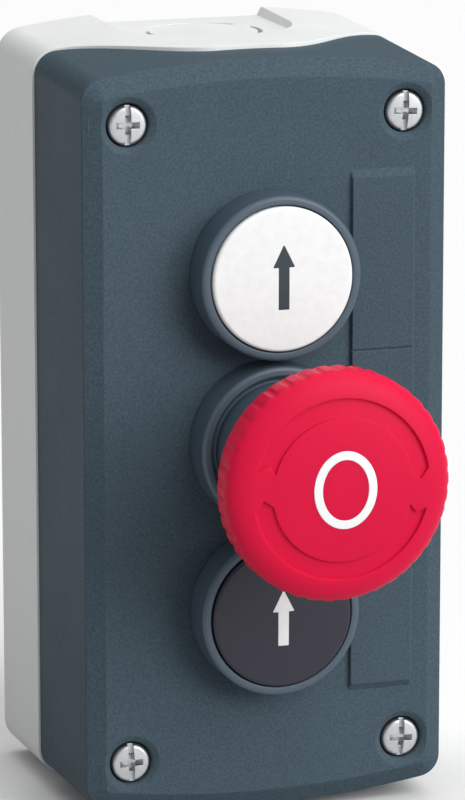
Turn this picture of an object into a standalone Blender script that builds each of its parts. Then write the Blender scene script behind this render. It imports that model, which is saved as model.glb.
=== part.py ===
"""Wall-mounted control station: two flush pushbuttons and a mushroom stop head in a two-part box.

Run with Blender: blender --background --python part.py

Every piece is drawn in the station's own frame, x to the right, y up and z out of the wall,
with the wall at z = 0. One empty turns that frame so that the box stands along world +Z
and its front faces world -Y. Units are metres.
"""

import math

import bmesh
import bpy
from mathutils import Matrix, Vector

MM = 0.001

# Enclosure
WIDTH = 68 * MM
HEIGHT = 136 * MM
DEPTH = 53 * MM
CORNER_RADIUS = 9 * MM
END_BOW = 3 * MM
END_TAPER = 1.3 * MM
PARTING_DEPTH = 23.5 * MM
ARCH_RISE = 19 * MM
ARCH_FLAT = 5.5 * MM
ARCH_END = 1.2 * MM
ARCH_REACH = WIDTH / 2 - ARCH_END
WALL = 3 * MM
FLOOR = 3 * MM
FRONT_WALL = 2.5 * MM
REAR_EDGE = 0.6 * MM
COVER_STEP = 0.35 * MM
COVER_DRAFT = 0.5 * MM
CHAMFER_IN = 3.2 * MM
CHAMFER_DEEP = 1.9 * MM
EDGE_SOFT = 0.5 * MM
CLEARANCE = 0.25 * MM

# Gasket in the base's rim
GROOVE_INSET = 0.8 * MM
GROOVE_WIDTH = 1.4 * MM
GROOVE_DEEP = 1.3 * MM

# Cover screws and the corner posts that they go through
SCREW_INSET_X = 8.75 * MM
SCREW_INSET_Y = 11.2 * MM
SCREW_PITCH_X = WIDTH - 2 * SCREW_INSET_X
SCREW_PITCH_Y = HEIGHT - 2 * SCREW_INSET_Y
SCREW_HEAD_RADIUS = 3.55 * MM
SCREW_HEAD_HIGH = 2.2 * MM
SCREW_FACE_RADIUS = 2.7 * MM
SCREW_FACE_CROWN = 0.12 * MM
SCREW_SHOULDER = 1.1 * MM
SCREW_RADIUS = 1.9 * MM
SCREW_LENGTH = 37 * MM
SCREW_SUNK = 0.3 * MM
POST_RADIUS = 7 * MM
SINK_TOP_RADIUS = 5.05 * MM
SINK_FLOOR_RADIUS = 3.9 * MM
DRIVE_WIDTH = 0.9 * MM
DRIVE_LENGTH = 4.4 * MM
DRIVE_DEEP = 1.1 * MM
SLOT_DEEP = 0.5 * MM

# Wall fixing holes in the floor
FIXING_PITCH_X = 25 * MM
FIXING_INSET_Y = 10 * MM
FIXING_PITCH_Y = HEIGHT - 2 * FIXING_INSET_Y
FIXING_RADIUS = 2.15 * MM
FIXING_PAD_RADIUS = 4.6 * MM
FIXING_PAD_HIGH = 1.2 * MM

# Cable entry at each end: a U-shaped recess and a disc that is knocked out
RECESS_DEEP = 1 * MM
RECESS_HALF = 15.5 * MM
RECESS_CENTRE = 15.6 * MM
RECESS_SLOPE = 0.5
ENTRY_RADIUS = 10.2 * MM
ENTRY_CENTRE = 16.2 * MM
ENTRY_SLOT = 0.9 * MM
ENTRY_WEBS = 3
ENTRY_WEB_ANGLE = 20

# Heads, all of the 22 mm kind
HEAD_PITCH = 30 * MM
TUBE_RADIUS = 11 * MM
TUBE_BORE = 9.7 * MM
TUBE_END = 42 * MM
LEDGE_BORE = 5.6 * MM
LEDGE_THICK = 1.5 * MM
HOLE_RADIUS = 11.3 * MM
BEZEL_RADIUS = 14.5 * MM
BEZEL_RISE = 7.4 * MM
BEZEL_LIP = 1.5 * MM
BEZEL_ROUND = 0.9 * MM
SEAL_INNER = 11.6 * MM
SEAL_OUTER = 13.3 * MM
SEAL_THICK = 0.7 * MM
KEY_WIDTH = 2.8 * MM
KEY_REACH = 12.1 * MM

# Raised label pad between the bezels and the cover's right edge
PAD_GAP = 0.4 * MM
PAD_MARGIN = 7.1 * MM
PAD_END_INSET = 21 * MM
PAD_LEFT = BEZEL_RADIUS + PAD_GAP
PAD_WIDTH = WIDTH / 2 - PAD_MARGIN - PAD_LEFT
PAD_X = PAD_LEFT + PAD_WIDTH / 2
PAD_HEIGHT = HEIGHT - 2 * PAD_END_INSET
PAD_RAISE = 0.8 * MM
PAD_SIDE_SLOPE = 0.35 * MM
PAD_END_SLOPE = 1.3 * MM
PAD_CORNER = 0.5 * MM
PAD_LINE_WIDTH = 0.4 * MM
PAD_LINE_DEEP = 0.3 * MM

# Button caps
CAP_RADIUS = 12.7 * MM
CAP_RISE = 8.3 * MM
CAP_RIM = 1.7 * MM
CAP_CROWN = 0.3 * MM
CAP_EDGE = 0.5 * MM
CAP_THICK = 2.6 * MM
BUTTON_TRAVEL = 4.2 * MM
SKIRT_WALL = 1.2 * MM
STEM_RADIUS = 5.2 * MM
STEM_END = 48.25 * MM

# Mushroom stop head
KNOB_RADIUS = 20 * MM
KNOB_TOP = 93 * MM
KNOB_FACE_RADIUS = 14 * MM
KNOB_CROWN = 1 * MM
KNOB_EDGE_DROP = 4.3 * MM
KNOB_GRIP_HIGH = 3.4 * MM
KNOB_HIGH = 12.6 * MM
KNOB_WALL = 3.4 * MM
KNOB_UNDERCUT = 3.6 * MM
KNOB_GRIP_TAPER = 0.85 * MM
KNOB_BACK_TAPER = 2.4 * MM
GRIP_NOTCHES = 42
NOTCH_RADIUS = 0.9 * MM
NOTCH_DEEP = 0.32 * MM
ARROW_INNER = 12.4 * MM
ARROW_OUTER = 15.6 * MM
ARROW_DEEP = 0.9 * MM
ARROW_SHALLOW = 0.25 * MM
ARROW_TAIL = 164.5
ARROW_TAIL_NOTCH = 159.5
ARROW_NECK = 10
ARROW_TIP = 3.5
NECK_RADIUS = 9.4 * MM
COLLAR_RADIUS = 11.6 * MM
COLLAR_TOP = 66 * MM
SPIGOT_RADIUS = 6 * MM
SPIGOT_LENGTH = 6 * MM
HUB_RADIUS = 10.6 * MM
STOP_TRAVEL = 6 * MM
NOSE_RADIUS = 4.6 * MM
POCKET_TOP = 62 * MM
POCKET_RADIUS = 8.6 * MM
LATCH_HIGH = 2.2 * MM

# Springs
HEAD_SPRING_RADIUS = 7 * MM
STOP_SPRING_RADIUS = 6.6 * MM
HEAD_SPRING_WIRE = 0.45 * MM
CONTACT_SPRING_RADIUS = 2.3 * MM
CONTACT_SPRING_WIRE = 0.3 * MM
SPRING_TURNS = 3

# Frame that clamps a head to the cover and carries its contact block
FRAME_LENGTH = 36 * MM
FRAME_HEIGHT = 27 * MM
FRAME_CORNER = 3 * MM

# Contact blocks
BLOCK_LENGTH = 38 * MM
BLOCK_WIDTH = 12 * MM
BLOCK_BACK = 16 * MM
BLOCK_SHOULDER = 2.7 * MM
BLOCK_CROWN = 18.4 * MM
BLOCK_CHAMFER = 1.5 * MM
PLUNGER_RADIUS = 2.6 * MM
SPINDLE_RADIUS = 1.5 * MM
SPINDLE_END = 25.2 * MM
BRIDGE_SHOULDER = 31.5 * MM
CHAMBER_FLOOR = 18.4 * MM
CHAMBER_TOP = 34 * MM
BRIDGE_LENGTH = 17.2 * MM
BRIDGE_WIDTH = 4 * MM
METAL_THICK = 0.8 * MM
TERMINAL_INNER = 6 * MM
TERMINAL_WIDTH = 4.6 * MM
TERMINAL_SCREW_X = 14.3 * MM
TERMINAL_HEAD_RADIUS = 2.9 * MM
TERMINAL_HEAD_HIGH = 1.7 * MM
TERMINAL_SHANK_RADIUS = 1.4 * MM
TERMINAL_SCREW_LENGTH = 6 * MM

# Facets
CORNER_STEPS = 5
END_STEPS = 5
ARCH_STEPS = 8
ROUND_STEPS = 24
SMALL_STEPS = 12
TINY_STEPS = 10
COIL_STEPS = 6
WIRE_STEPS = 1
SHOULDER_STEPS = 3
NOTCH_STEPS = 6
ENTRY_STEPS = 6

MERGE = 0.00001
PAST = 2 * MM

HEAD_ROWS = {"white": HEAD_PITCH, "stop": 0.0, "black": -HEAD_PITCH}


def srgb(hex_colour):
    """Linear colour of an sRGB hex value, as a Principled BSDF takes it."""
    parts = [int(hex_colour[i : i + 2], 16) / 255 for i in (0, 2, 4)]
    linear = [c / 12.92 if c <= 0.04045 else ((c + 0.055) / 1.055) ** 2.4 for c in parts]
    return (*linear, 1.0)


def material(name, hex_colour, roughness, metallic=0.0):
    made = bpy.data.materials.new(name)
    made.use_nodes = True
    shader = made.node_tree.nodes["Principled BSDF"]
    shader.inputs["Base Color"].default_value = srgb(hex_colour)
    shader.inputs["Roughness"].default_value = roughness
    shader.inputs["Metallic"].default_value = metallic
    made.diffuse_color = srgb(hex_colour)
    return made


def clear_scene():
    for item in list(bpy.data.objects):
        bpy.data.objects.remove(item, do_unlink=True)


class Station:
    """The collections, the turned frame and the materials that every piece shares."""

    def __init__(self):
        self.parts = bpy.data.collections.new("pushbutton_control_station")
        self.cutters = bpy.data.collections.new("cutters")
        for collection in (self.parts, self.cutters):
            bpy.context.scene.collection.children.link(collection)
        self.frame = bpy.data.objects.new("station_frame", None)
        self.frame.rotation_euler = (math.pi / 2, 0, 0)
        self.parts.objects.link(self.frame)
        self.light_grey = material("light_grey_plastic", "C9CACA", 0.5)
        self.blue_grey = material("blue_grey_plastic", "4F5C66", 0.55)
        self.dark_grey = material("dark_grey_plastic", "434D55", 0.45)
        self.black = material("black_plastic", "26262C", 0.4)
        self.white = material("white_plastic", "F2F2F4", 0.35)
        self.red = material("red_plastic", "D91C3C", 0.4)
        self.rubber = material("black_rubber", "1C1C1E", 0.8)
        self.zinc = material("zinc_plated_steel", "B9BCBF", 0.35, 1.0)
        self.spring_steel = material("spring_steel", "9A9DA1", 0.3, 1.0)
        self.brass = material("brass", "C9A34E", 0.3, 1.0)
        self.housing_grey = material("contact_housing_plastic", "7F868A", 0.5)

    def add(self, name, data, finish, at=(0, 0, 0)):
        piece = bpy.data.objects.new(name, data)
        piece.parent = self.frame
        piece.location = at
        self.parts.objects.link(piece)
        piece.data.materials.clear()
        piece.data.materials.append(finish)
        return piece

    def cutter(self, name, mesh, at=(0, 0, 0), turn=(0, 0, 0)):
        helper = bpy.data.objects.new(name, mesh)
        helper.parent = self.frame
        helper.location = at
        helper.rotation_euler = turn
        helper.hide_render = True
        helper.display_type = "WIRE"
        self.cutters.objects.link(helper)
        return helper


# Meshes from Blender's modelling tools


def mesh_of(name, form):
    mesh = bpy.data.meshes.new(name)
    form.to_mesh(mesh)
    form.free()
    return mesh


def box_mesh(name, low, high):
    """A box between two corners."""
    low, high = Vector(low), Vector(high)
    size = high - low
    form = bmesh.new()
    bmesh.ops.create_cube(form, size=1.0)
    bmesh.ops.scale(form, vec=size, verts=form.verts)
    bmesh.ops.translate(form, vec=(low + high) / 2, verts=form.verts)
    return mesh_of(name, form)


def cone_mesh(name, radius_low, radius_high, low, high, steps, centres=((0, 0),)):
    """Upright cylinders or cones between two heights, one at each centre."""
    form = bmesh.new()
    for x, y in centres:
        bmesh.ops.create_cone(
            form,
            cap_ends=True,
            segments=steps,
            radius1=radius_low,
            radius2=radius_high,
            depth=high - low,
            matrix=Matrix.Translation((x, y, (low + high) / 2)),
        )
    return mesh_of(name, form)


def flat_mesh(name, outlines, low, high):
    """Closed outlines in x and y, filled and extruded between two heights."""
    curve = bpy.data.curves.new(name + "_curve", "CURVE")
    curve.dimensions = "2D"
    curve.fill_mode = "BOTH"
    curve.extrude = (high - low) / 2
    for outline in outlines:
        spline = curve.splines.new("POLY")
        spline.points.add(len(outline) - 1)
        for point, (x, y) in zip(spline.points, outline):
            point.co = (x, y, 0, 1)
        spline.use_cyclic_u = True
    drawn = bpy.data.objects.new(name + "_drawn", curve)
    bpy.context.scene.collection.objects.link(drawn)
    graph = bpy.context.evaluated_depsgraph_get()
    mesh = bpy.data.meshes.new_from_object(drawn.evaluated_get(graph))
    bpy.data.objects.remove(drawn, do_unlink=True)
    form = bmesh.new()
    form.from_mesh(mesh)
    bpy.data.meshes.remove(mesh)
    bmesh.ops.remove_doubles(form, verts=form.verts, dist=MERGE)
    bmesh.ops.translate(form, vec=(0, 0, (low + high) / 2), verts=form.verts)
    bmesh.ops.recalc_face_normals(form, faces=form.faces)
    return mesh_of(name, form)


def loft_mesh(name, sections):
    """A solid through stacked sections, each an outline and its height, closed at both ends."""
    form = bmesh.new()
    rings = [[form.verts.new((x, y, z)) for x, y in outline] for outline, z in sections]
    count = len(rings[0])
    for lower, upper in zip(rings, rings[1:]):
        for i in range(count):
            j = (i + 1) % count
            form.faces.new((lower[i], lower[j], upper[j], upper[i]))
    form.faces.new(list(reversed(rings[0])))
    form.faces.new(rings[-1])
    bmesh.ops.recalc_face_normals(form, faces=form.faces)
    return mesh_of(name, form)


def turned_mesh(name, profile, closed):
    """The edge loop that a Screw modifier turns about z, as radius and height pairs."""
    form = bmesh.new()
    points = [form.verts.new((radius, 0, height)) for radius, height in profile]
    pairs = list(zip(points, points[1:]))
    if closed:
        pairs.append((points[-1], points[0]))
    for pair in pairs:
        form.edges.new(pair)
    return mesh_of(name, form)


def turn(piece, steps=ROUND_STEPS):
    """Turns the piece's profile into a round solid."""
    screw = piece.modifiers.new("turned", "SCREW")
    screw.axis = "Z"
    screw.angle = 2 * math.pi
    screw.steps = steps
    screw.render_steps = steps
    screw.use_merge_vertices = True
    screw.merge_threshold = MERGE
    screw.use_smooth_shade = True
    return piece


def cut(piece, helper, operation="DIFFERENCE"):
    boolean = piece.modifiers.new(helper.name, "BOOLEAN")
    boolean.operation = operation
    boolean.object = helper
    boolean.solver = "EXACT"
    return piece


def coil_curve(name, radius, wire, low, high, turns):
    """A helical wire whose ends' surfaces lie at the two heights."""
    curve = bpy.data.curves.new(name, "CURVE")
    curve.dimensions = "3D"
    curve.bevel_depth = wire
    curve.bevel_resolution = WIRE_STEPS
    curve.use_fill_caps = True
    count = turns * COIL_STEPS + 1
    spline = curve.splines.new("POLY")
    spline.points.add(count - 1)
    for i, point in enumerate(spline.points):
        angle = 2 * math.pi * i / COIL_STEPS
        height = low + wire + (high - low - 2 * wire) * i / (count - 1)
        point.co = (radius * math.cos(angle), radius * math.sin(angle), height, 1)
    return curve


# Outlines


def arc(centre, radius, start, end, steps):
    """Points along an arc, its angles in degrees."""
    points = []
    for i in range(steps + 1):
        angle = math.radians(start + (end - start) * i / steps)
        points.append((centre[0] + radius * math.cos(angle), centre[1] + radius * math.sin(angle)))
    return points


def on_circle(radius, angle):
    turned = math.radians(angle)
    return (radius * math.cos(turned), radius * math.sin(turned))


def shoulder(face_radius, face, radius, drop, steps=SHOULDER_STEPS):
    """Profile points from a face's rim round to a side wall, along a quarter of an ellipse."""
    points = []
    for i in range(steps + 1):
        angle = math.pi / 2 * i / steps
        reach = face_radius + (radius - face_radius) * math.sin(angle)
        points.append((reach, face - drop * (1 - math.cos(angle))))
    return points


def case_outline(inset, depth):
    """The box's outline at a depth from the wall, moved in by a distance.

    Its sides are straight, its ends bowed and tapered towards the front, its corners round.
    """
    half = WIDTH / 2
    end = HEIGHT / 2 + END_TAPER * (1 - depth / DEPTH)
    end_radius = (half**2 + END_BOW**2) / (2 * END_BOW)
    end_centre = end - end_radius
    corner_x = half - CORNER_RADIUS
    corner_y = end_centre + math.sqrt((end_radius - CORNER_RADIUS) ** 2 - corner_x**2)
    tilt = math.degrees(math.atan2(corner_y - end_centre, corner_x))
    quarter = arc((corner_x, corner_y), CORNER_RADIUS - inset, 0, tilt, CORNER_STEPS)
    bow = arc((0, end_centre), end_radius - inset, tilt, 180 - tilt, END_STEPS)
    top = quarter + bow[1:-1] + [(-x, y) for x, y in reversed(quarter)]
    return top + [(-x, -y) for x, y in top]


def case_mesh(name, inset, low, high):
    """A tapered solid that follows the box's outline between two depths."""
    return loft_mesh(name, [(case_outline(inset, depth), depth) for depth in (low, high)])


def rounded_rectangle(width, height, radius, steps=3):
    x, y = width / 2 - radius, height / 2 - radius
    corners = (((x, y), 0), ((-x, y), 90), ((-x, -y), 180), ((x, -y), 270))
    return [p for centre, start in corners for p in arc(centre, radius, start, start + 90, steps)]


def arch(x):
    """How far the parting line rises towards the front at a distance from the middle."""
    share = (abs(x) - ARCH_FLAT) / (ARCH_REACH - ARCH_FLAT)
    share = min(max(share, 0.0), 1.0)
    return ARCH_RISE * (1 + math.cos(math.pi * share)) / 2


def parting_outline(offset, far):
    """Section of the space on one side of the parting surface, out to the height called far."""
    ramp = [ARCH_FLAT + (ARCH_REACH - ARCH_FLAT) * i / ARCH_STEPS for i in range(ARCH_STEPS + 1)]
    half = [-x for x in reversed(ramp)] + ramp
    edge = [(x, PARTING_DEPTH + arch(x) + offset) for x in half]
    start = (-WIDTH, PARTING_DEPTH + offset)
    end = (WIDTH, PARTING_DEPTH + offset)
    return [start, *edge, end, (WIDTH, far), (-WIDTH, far)]


def parting_cutter(station, name, offset, far):
    """The space above or below the parting surface, as a prism along the box's height."""
    mesh = flat_mesh(name, [parting_outline(offset, far)], -HEIGHT, HEIGHT)
    return station.cutter(name, mesh, turn=(math.pi / 2, 0, 0))


def corner_points(pitch_x, pitch_y):
    return [(x * pitch_x / 2, y * pitch_y / 2) for x in (-1, 1) for y in (1, -1)]


# Enclosure


def base_box(station):
    """The wall-side half: an open box with arched ends, a gasket groove and cable entries."""
    top = PARTING_DEPTH + ARCH_RISE
    depths = ((REAR_EDGE, 0), (0, REAR_EDGE), (0, top + PAST))
    sections = [(case_outline(inset, depth), depth) for inset, depth in depths]
    base = station.add("base_box", loft_mesh("base_box", sections), station.light_grey)
    inside = case_mesh("base_inside", WALL, FLOOR, top + 2 * PAST)
    cut(base, station.cutter("base_inside", inside))
    cut(base, parting_cutter(station, "above_base", 0, DEPTH + PAST))
    posts = cone_mesh(
        "base_posts",
        POST_RADIUS,
        POST_RADIUS,
        FLOOR / 2,
        PARTING_DEPTH,
        SMALL_STEPS,
        corner_points(SCREW_PITCH_X, SCREW_PITCH_Y),
    )
    cut(base, station.cutter("base_posts", posts), "UNION")
    pads = cone_mesh(
        "fixing_pads",
        FIXING_PAD_RADIUS,
        FIXING_PAD_RADIUS,
        FLOOR / 2,
        FLOOR + FIXING_PAD_HIGH,
        SMALL_STEPS,
        corner_points(FIXING_PITCH_X, FIXING_PITCH_Y),
    )
    cut(base, station.cutter("fixing_pads", pads), "UNION")
    fixings = cone_mesh(
        "fixing_holes",
        FIXING_RADIUS,
        FIXING_RADIUS,
        -PAST,
        FLOOR + FIXING_PAD_HIGH + PAST,
        SMALL_STEPS,
        corner_points(FIXING_PITCH_X, FIXING_PITCH_Y),
    )
    cut(base, station.cutter("fixing_holes", fixings))
    thread = SCREW_RADIUS + CLEARANCE / 2
    screw_end = DEPTH - SCREW_SUNK - SCREW_HEAD_HIGH - SCREW_LENGTH
    holes = cone_mesh(
        "post_holes",
        thread,
        thread,
        screw_end - CLEARANCE,
        PARTING_DEPTH + 2 * PAST,
        TINY_STEPS,
        corner_points(SCREW_PITCH_X, SCREW_PITCH_Y),
    )
    cut(base, station.cutter("post_holes", holes))
    groove = rim_ring(station, "groove", GROOVE_INSET, GROOVE_WIDTH)
    cut(groove, parting_cutter(station, "below_groove", -GROOVE_DEEP, -PAST))
    cut(base, groove)
    for end, sign in (("top", 1), ("bottom", -1)):
        cable_entry(station, base, end, sign)
    return base


def rim_ring(station, name, inset, width):
    """A cutter that is a band inside the box's outline, all the way through its depth."""
    outer = station.cutter(name, case_mesh(name, inset, -PAST, DEPTH + PAST))
    inner = case_mesh(name + "_inner", inset + width, -2 * PAST, DEPTH + 2 * PAST)
    return cut(outer, station.cutter(name + "_inner", inner))


def cable_entry(station, base, end, sign):
    """The U-shaped recess at one end and the slots round its knock-out disc."""
    turned = (math.pi / 2, 0, 0)
    floor = HEIGHT / 2 - RECESS_DEEP
    sections = []
    for height in (floor, HEIGHT / 2 + END_TAPER + PAST):
        half = RECESS_HALF + (height - floor) * RECESS_SLOPE
        u_shape = arc((0, RECESS_CENTRE), half, 0, 180, SMALL_STEPS)
        sections.append(([(half, -PAST), *u_shape, (-half, -PAST)], -sign * height))
    recess = loft_mesh(end + "_recess", sections)
    cut(base, station.cutter(end + "_recess", recess, turn=turned))
    span = 360 / ENTRY_WEBS - ENTRY_WEB_ANGLE
    slots = []
    for i in range(ENTRY_WEBS):
        start = 90 + ENTRY_WEB_ANGLE / 2 + 360 / ENTRY_WEBS * i
        centre = (0, ENTRY_CENTRE)
        outer = arc(centre, ENTRY_RADIUS + ENTRY_SLOT / 2, start, start + span, ENTRY_STEPS)
        inner = arc(centre, ENTRY_RADIUS - ENTRY_SLOT / 2, start + span, start, ENTRY_STEPS)
        slots.append(outer + inner)
    low, high = sorted((-sign * (floor - WALL - PAST), -sign * (floor + PAST)))
    rings = flat_mesh(end + "_slots", slots, low, high)
    cut(base, station.cutter(end + "_slots", rings, turn=turned))


def cover_sections():
    """Heights and insets of the cover's outer skin: drafted sides, a flat chamfer, soft edges."""
    side = COVER_STEP + COVER_DRAFT
    low = DEPTH - CHAMFER_DEEP
    slope = CHAMFER_DEEP / CHAMFER_IN
    steps = [
        (PARTING_DEPTH, COVER_STEP),
        (low - EDGE_SOFT, side - EDGE_SOFT * COVER_DRAFT / (low - PARTING_DEPTH)),
        (low, side + EDGE_SOFT / 4),
        (low + EDGE_SOFT * slope, side + EDGE_SOFT),
        (DEPTH - EDGE_SOFT * slope, side + CHAMFER_IN - EDGE_SOFT),
        (DEPTH, side + CHAMFER_IN + EDGE_SOFT),
    ]
    return [(case_outline(inset, height), height) for height, inset in steps]


def front_cover(station):
    """The front half: a drafted shell with chamfered front edges, head holes and screw sinks."""
    cover = station.add("cover", loft_mesh("cover", cover_sections()), station.blue_grey)
    skin = COVER_STEP + COVER_DRAFT + WALL
    inside = case_mesh("cover_inside", skin, -PAST, DEPTH - FRONT_WALL)
    cut(cover, station.cutter("cover_inside", inside))
    cut(cover, parting_cutter(station, "below_cover", CLEARANCE, -PAST))
    posts = cone_mesh(
        "cover_posts",
        POST_RADIUS,
        POST_RADIUS,
        PARTING_DEPTH + CLEARANCE,
        DEPTH - FRONT_WALL / 2,
        SMALL_STEPS,
        corner_points(SCREW_PITCH_X, SCREW_PITCH_Y),
    )
    cut(cover, station.cutter("cover_posts", posts), "UNION")
    rim = rim_ring(station, "rim_space", -PAST, WALL + CLEARANCE + PAST)
    cut(rim, parting_cutter(station, "below_rim", CLEARANCE, -PAST), "INTERSECT")
    cut(cover, rim)
    cut(cover, pad_cutter(station), "UNION")
    for index, sign in enumerate((1, -1)):
        line = box_mesh(
            f"pad_line_{index}",
            (PAD_X - PAD_WIDTH, sign * HEAD_PITCH / 2 - PAD_LINE_WIDTH / 2, DEPTH + PAD_RAISE - PAD_LINE_DEEP),
            (PAD_X + PAD_WIDTH, sign * HEAD_PITCH / 2 + PAD_LINE_WIDTH / 2, DEPTH + PAD_RAISE + PAST),
        )
        cut(cover, station.cutter(f"pad_line_{index}", line))
    heads = [(0, row) for row in HEAD_ROWS.values()]
    holes = cone_mesh(
        "head_holes",
        HOLE_RADIUS,
        HOLE_RADIUS,
        DEPTH - FRONT_WALL - PAST,
        DEPTH + PAST,
        ROUND_STEPS,
        heads,
    )
    cut(cover, station.cutter("head_holes", holes))
    for head, row in HEAD_ROWS.items():
        name = f"{head}_key_notch"
        cut(cover, station.cutter(name, key_space(name, CLEARANCE), at=(0, row, 0)))
    sink_floor = DEPTH - SCREW_SUNK - SCREW_HEAD_HIGH - CLEARANCE
    widening = (SINK_TOP_RADIUS - SINK_FLOOR_RADIUS) / (DEPTH - sink_floor)
    sinks = cone_mesh(
        "screw_sinks",
        SINK_FLOOR_RADIUS,
        SINK_TOP_RADIUS + widening * PAST,
        sink_floor,
        DEPTH + PAST,
        SMALL_STEPS,
        corner_points(SCREW_PITCH_X, SCREW_PITCH_Y),
    )
    cut(cover, station.cutter("screw_sinks", sinks))
    bore = SCREW_RADIUS + CLEARANCE
    bores = cone_mesh(
        "screw_bores",
        bore,
        bore,
        PARTING_DEPTH - PAST,
        DEPTH,
        TINY_STEPS,
        corner_points(SCREW_PITCH_X, SCREW_PITCH_Y),
    )
    cut(cover, station.cutter("screw_bores", bores))
    return cover


def pad_cutter(station):
    """The raised label pad, steep at its sides and sloped at its two ends."""
    foot = rounded_rectangle(PAD_WIDTH, PAD_HEIGHT, PAD_CORNER)
    face_width = PAD_WIDTH - 2 * PAD_SIDE_SLOPE
    face = rounded_rectangle(face_width, PAD_HEIGHT - 2 * PAD_END_SLOPE, PAD_CORNER)
    heights = (DEPTH - FRONT_WALL / 2, DEPTH, DEPTH + PAD_RAISE)
    sections = list(zip((foot, foot, face), heights))
    return station.cutter("label_pad", loft_mesh("label_pad", sections), at=(PAD_X, 0, 0))


def cover_gasket(station):
    """The cord gasket in the base's rim, which follows the arched parting line."""
    inset = GROOVE_INSET + CLEARANCE
    ring = case_mesh("cover_gasket", inset, FLOOR, DEPTH)
    gasket = station.add("cover_gasket", ring, station.rubber)
    inner = GROOVE_INSET + GROOVE_WIDTH - CLEARANCE
    hollow = case_mesh("gasket_hollow", inner, FLOOR - PAST, DEPTH + PAST)
    cut(gasket, station.cutter("gasket_hollow", hollow))
    low = -GROOVE_DEEP + CLEARANCE
    cut(gasket, parting_cutter(station, "below_gasket", low, -PAST))
    cut(gasket, parting_cutter(station, "above_gasket", 0, DEPTH + PAST))
    return gasket


def cover_screws(station):
    """Pan-head screws with a combined slot and cross, one in each corner."""
    top = DEPTH - SCREW_SUNK
    under = top - SCREW_HEAD_HIGH
    face = top - SCREW_FACE_CROWN
    profile = [
        (0, top),
        *shoulder(SCREW_FACE_RADIUS, face, SCREW_HEAD_RADIUS, SCREW_SHOULDER),
        (SCREW_HEAD_RADIUS, under),
        (SCREW_RADIUS, under),
        (SCREW_RADIUS, under - SCREW_LENGTH + SCREW_RADIUS / 2),
        (SCREW_RADIUS / 2, under - SCREW_LENGTH),
        (0, under - SCREW_LENGTH),
    ]
    half = DRIVE_WIDTH / 2
    reach = DRIVE_LENGTH / 2
    cross = box_mesh("drive_cross", (-reach, -half, top - DRIVE_DEEP), (reach, half, top + PAST))
    shaft = box_mesh("drive_shaft", (-half, -reach, top - DRIVE_DEEP), (half, reach, top + PAST))
    slot_reach = SCREW_HEAD_RADIUS + PAST
    slot = box_mesh("drive_slot", (-half, -slot_reach, top - SLOT_DEEP), (half, slot_reach, top + PAST))
    mesh = turned_mesh("cover_screw", profile, closed=False)
    for number, (x, y) in enumerate(corner_points(SCREW_PITCH_X, SCREW_PITCH_Y), 1):
        screw = station.add(f"cover_screw_{number}", mesh.copy(), station.zinc, (x, y, 0))
        turn(screw, SMALL_STEPS)
        for form in (cross, shaft, slot):
            cut(screw, station.cutter(f"{form.name}_{number}", form, at=(x, y, 0)))


# Heads


def bezel_profile(inner):
    """Outer side of a head's body, from the bezel's front rim down to the tube's end."""
    front = DEPTH + BEZEL_RISE
    seat = DEPTH + CLEARANCE
    step = SEAL_OUTER + CLEARANCE
    seal_roof = seat + SEAL_THICK + CLEARANCE
    return [
        (inner, front),
        (BEZEL_RADIUS - BEZEL_ROUND, front),
        (BEZEL_RADIUS - BEZEL_ROUND * 0.3, front - BEZEL_ROUND * 0.3),
        (BEZEL_RADIUS, front - BEZEL_ROUND),
        (BEZEL_RADIUS, seat),
        (step, seat),
        (step, seal_roof),
        (TUBE_RADIUS, seal_roof),
        (TUBE_RADIUS, TUBE_END),
        (LEDGE_BORE, TUBE_END),
        (LEDGE_BORE, TUBE_END + LEDGE_THICK),
        (TUBE_BORE, TUBE_END + LEDGE_THICK),
    ]


def button_head(station, colour, row, finish):
    """A flush pushbutton: body, panel seal, cap, return spring and clamping frame."""
    at = (0, row, 0)
    cap_bore = CAP_RADIUS + CLEARANCE
    shelf = DEPTH + CAP_RISE - CAP_CROWN - CAP_RIM - BUTTON_TRAVEL - CLEARANCE
    profile = bezel_profile(cap_bore) + [(TUBE_BORE, shelf), (cap_bore, shelf)]
    body = station.add(
        f"{colour}_bezel", turned_mesh(f"{colour}_bezel", profile, closed=True), station.dark_grey, at
    )
    turn(body)
    tube_key(station, body, colour, at)
    panel_seal(station, colour, at)
    button_cap(station, colour, at, finish)
    spring_top = cap_underside() - CLEARANCE
    head_spring(station, colour, at, HEAD_SPRING_RADIUS, TUBE_END + LEDGE_THICK + CLEARANCE, spring_top)
    clamp_frame(station, colour, at)


def key_space(name, spare):
    """The room of the key that stops a head from turning, widened by a spare distance."""
    half = KEY_WIDTH / 2 + spare
    low = DEPTH - FRONT_WALL - CLEARANCE - spare
    high = DEPTH - CLEARANCE + 2 * spare
    inner = (TUBE_BORE + TUBE_RADIUS) / 2
    return box_mesh(name, (-half, inner, low), (half, KEY_REACH + spare, high))


def tube_key(station, body, head, at):
    name = f"{head}_key"
    return cut(body, station.cutter(name, key_space(name, 0), at=at), "UNION")


def cap_underside():
    """Height of the flat inside the cap that the return spring presses on."""
    return DEPTH + CAP_RISE - CAP_THICK - CAP_CROWN


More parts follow.
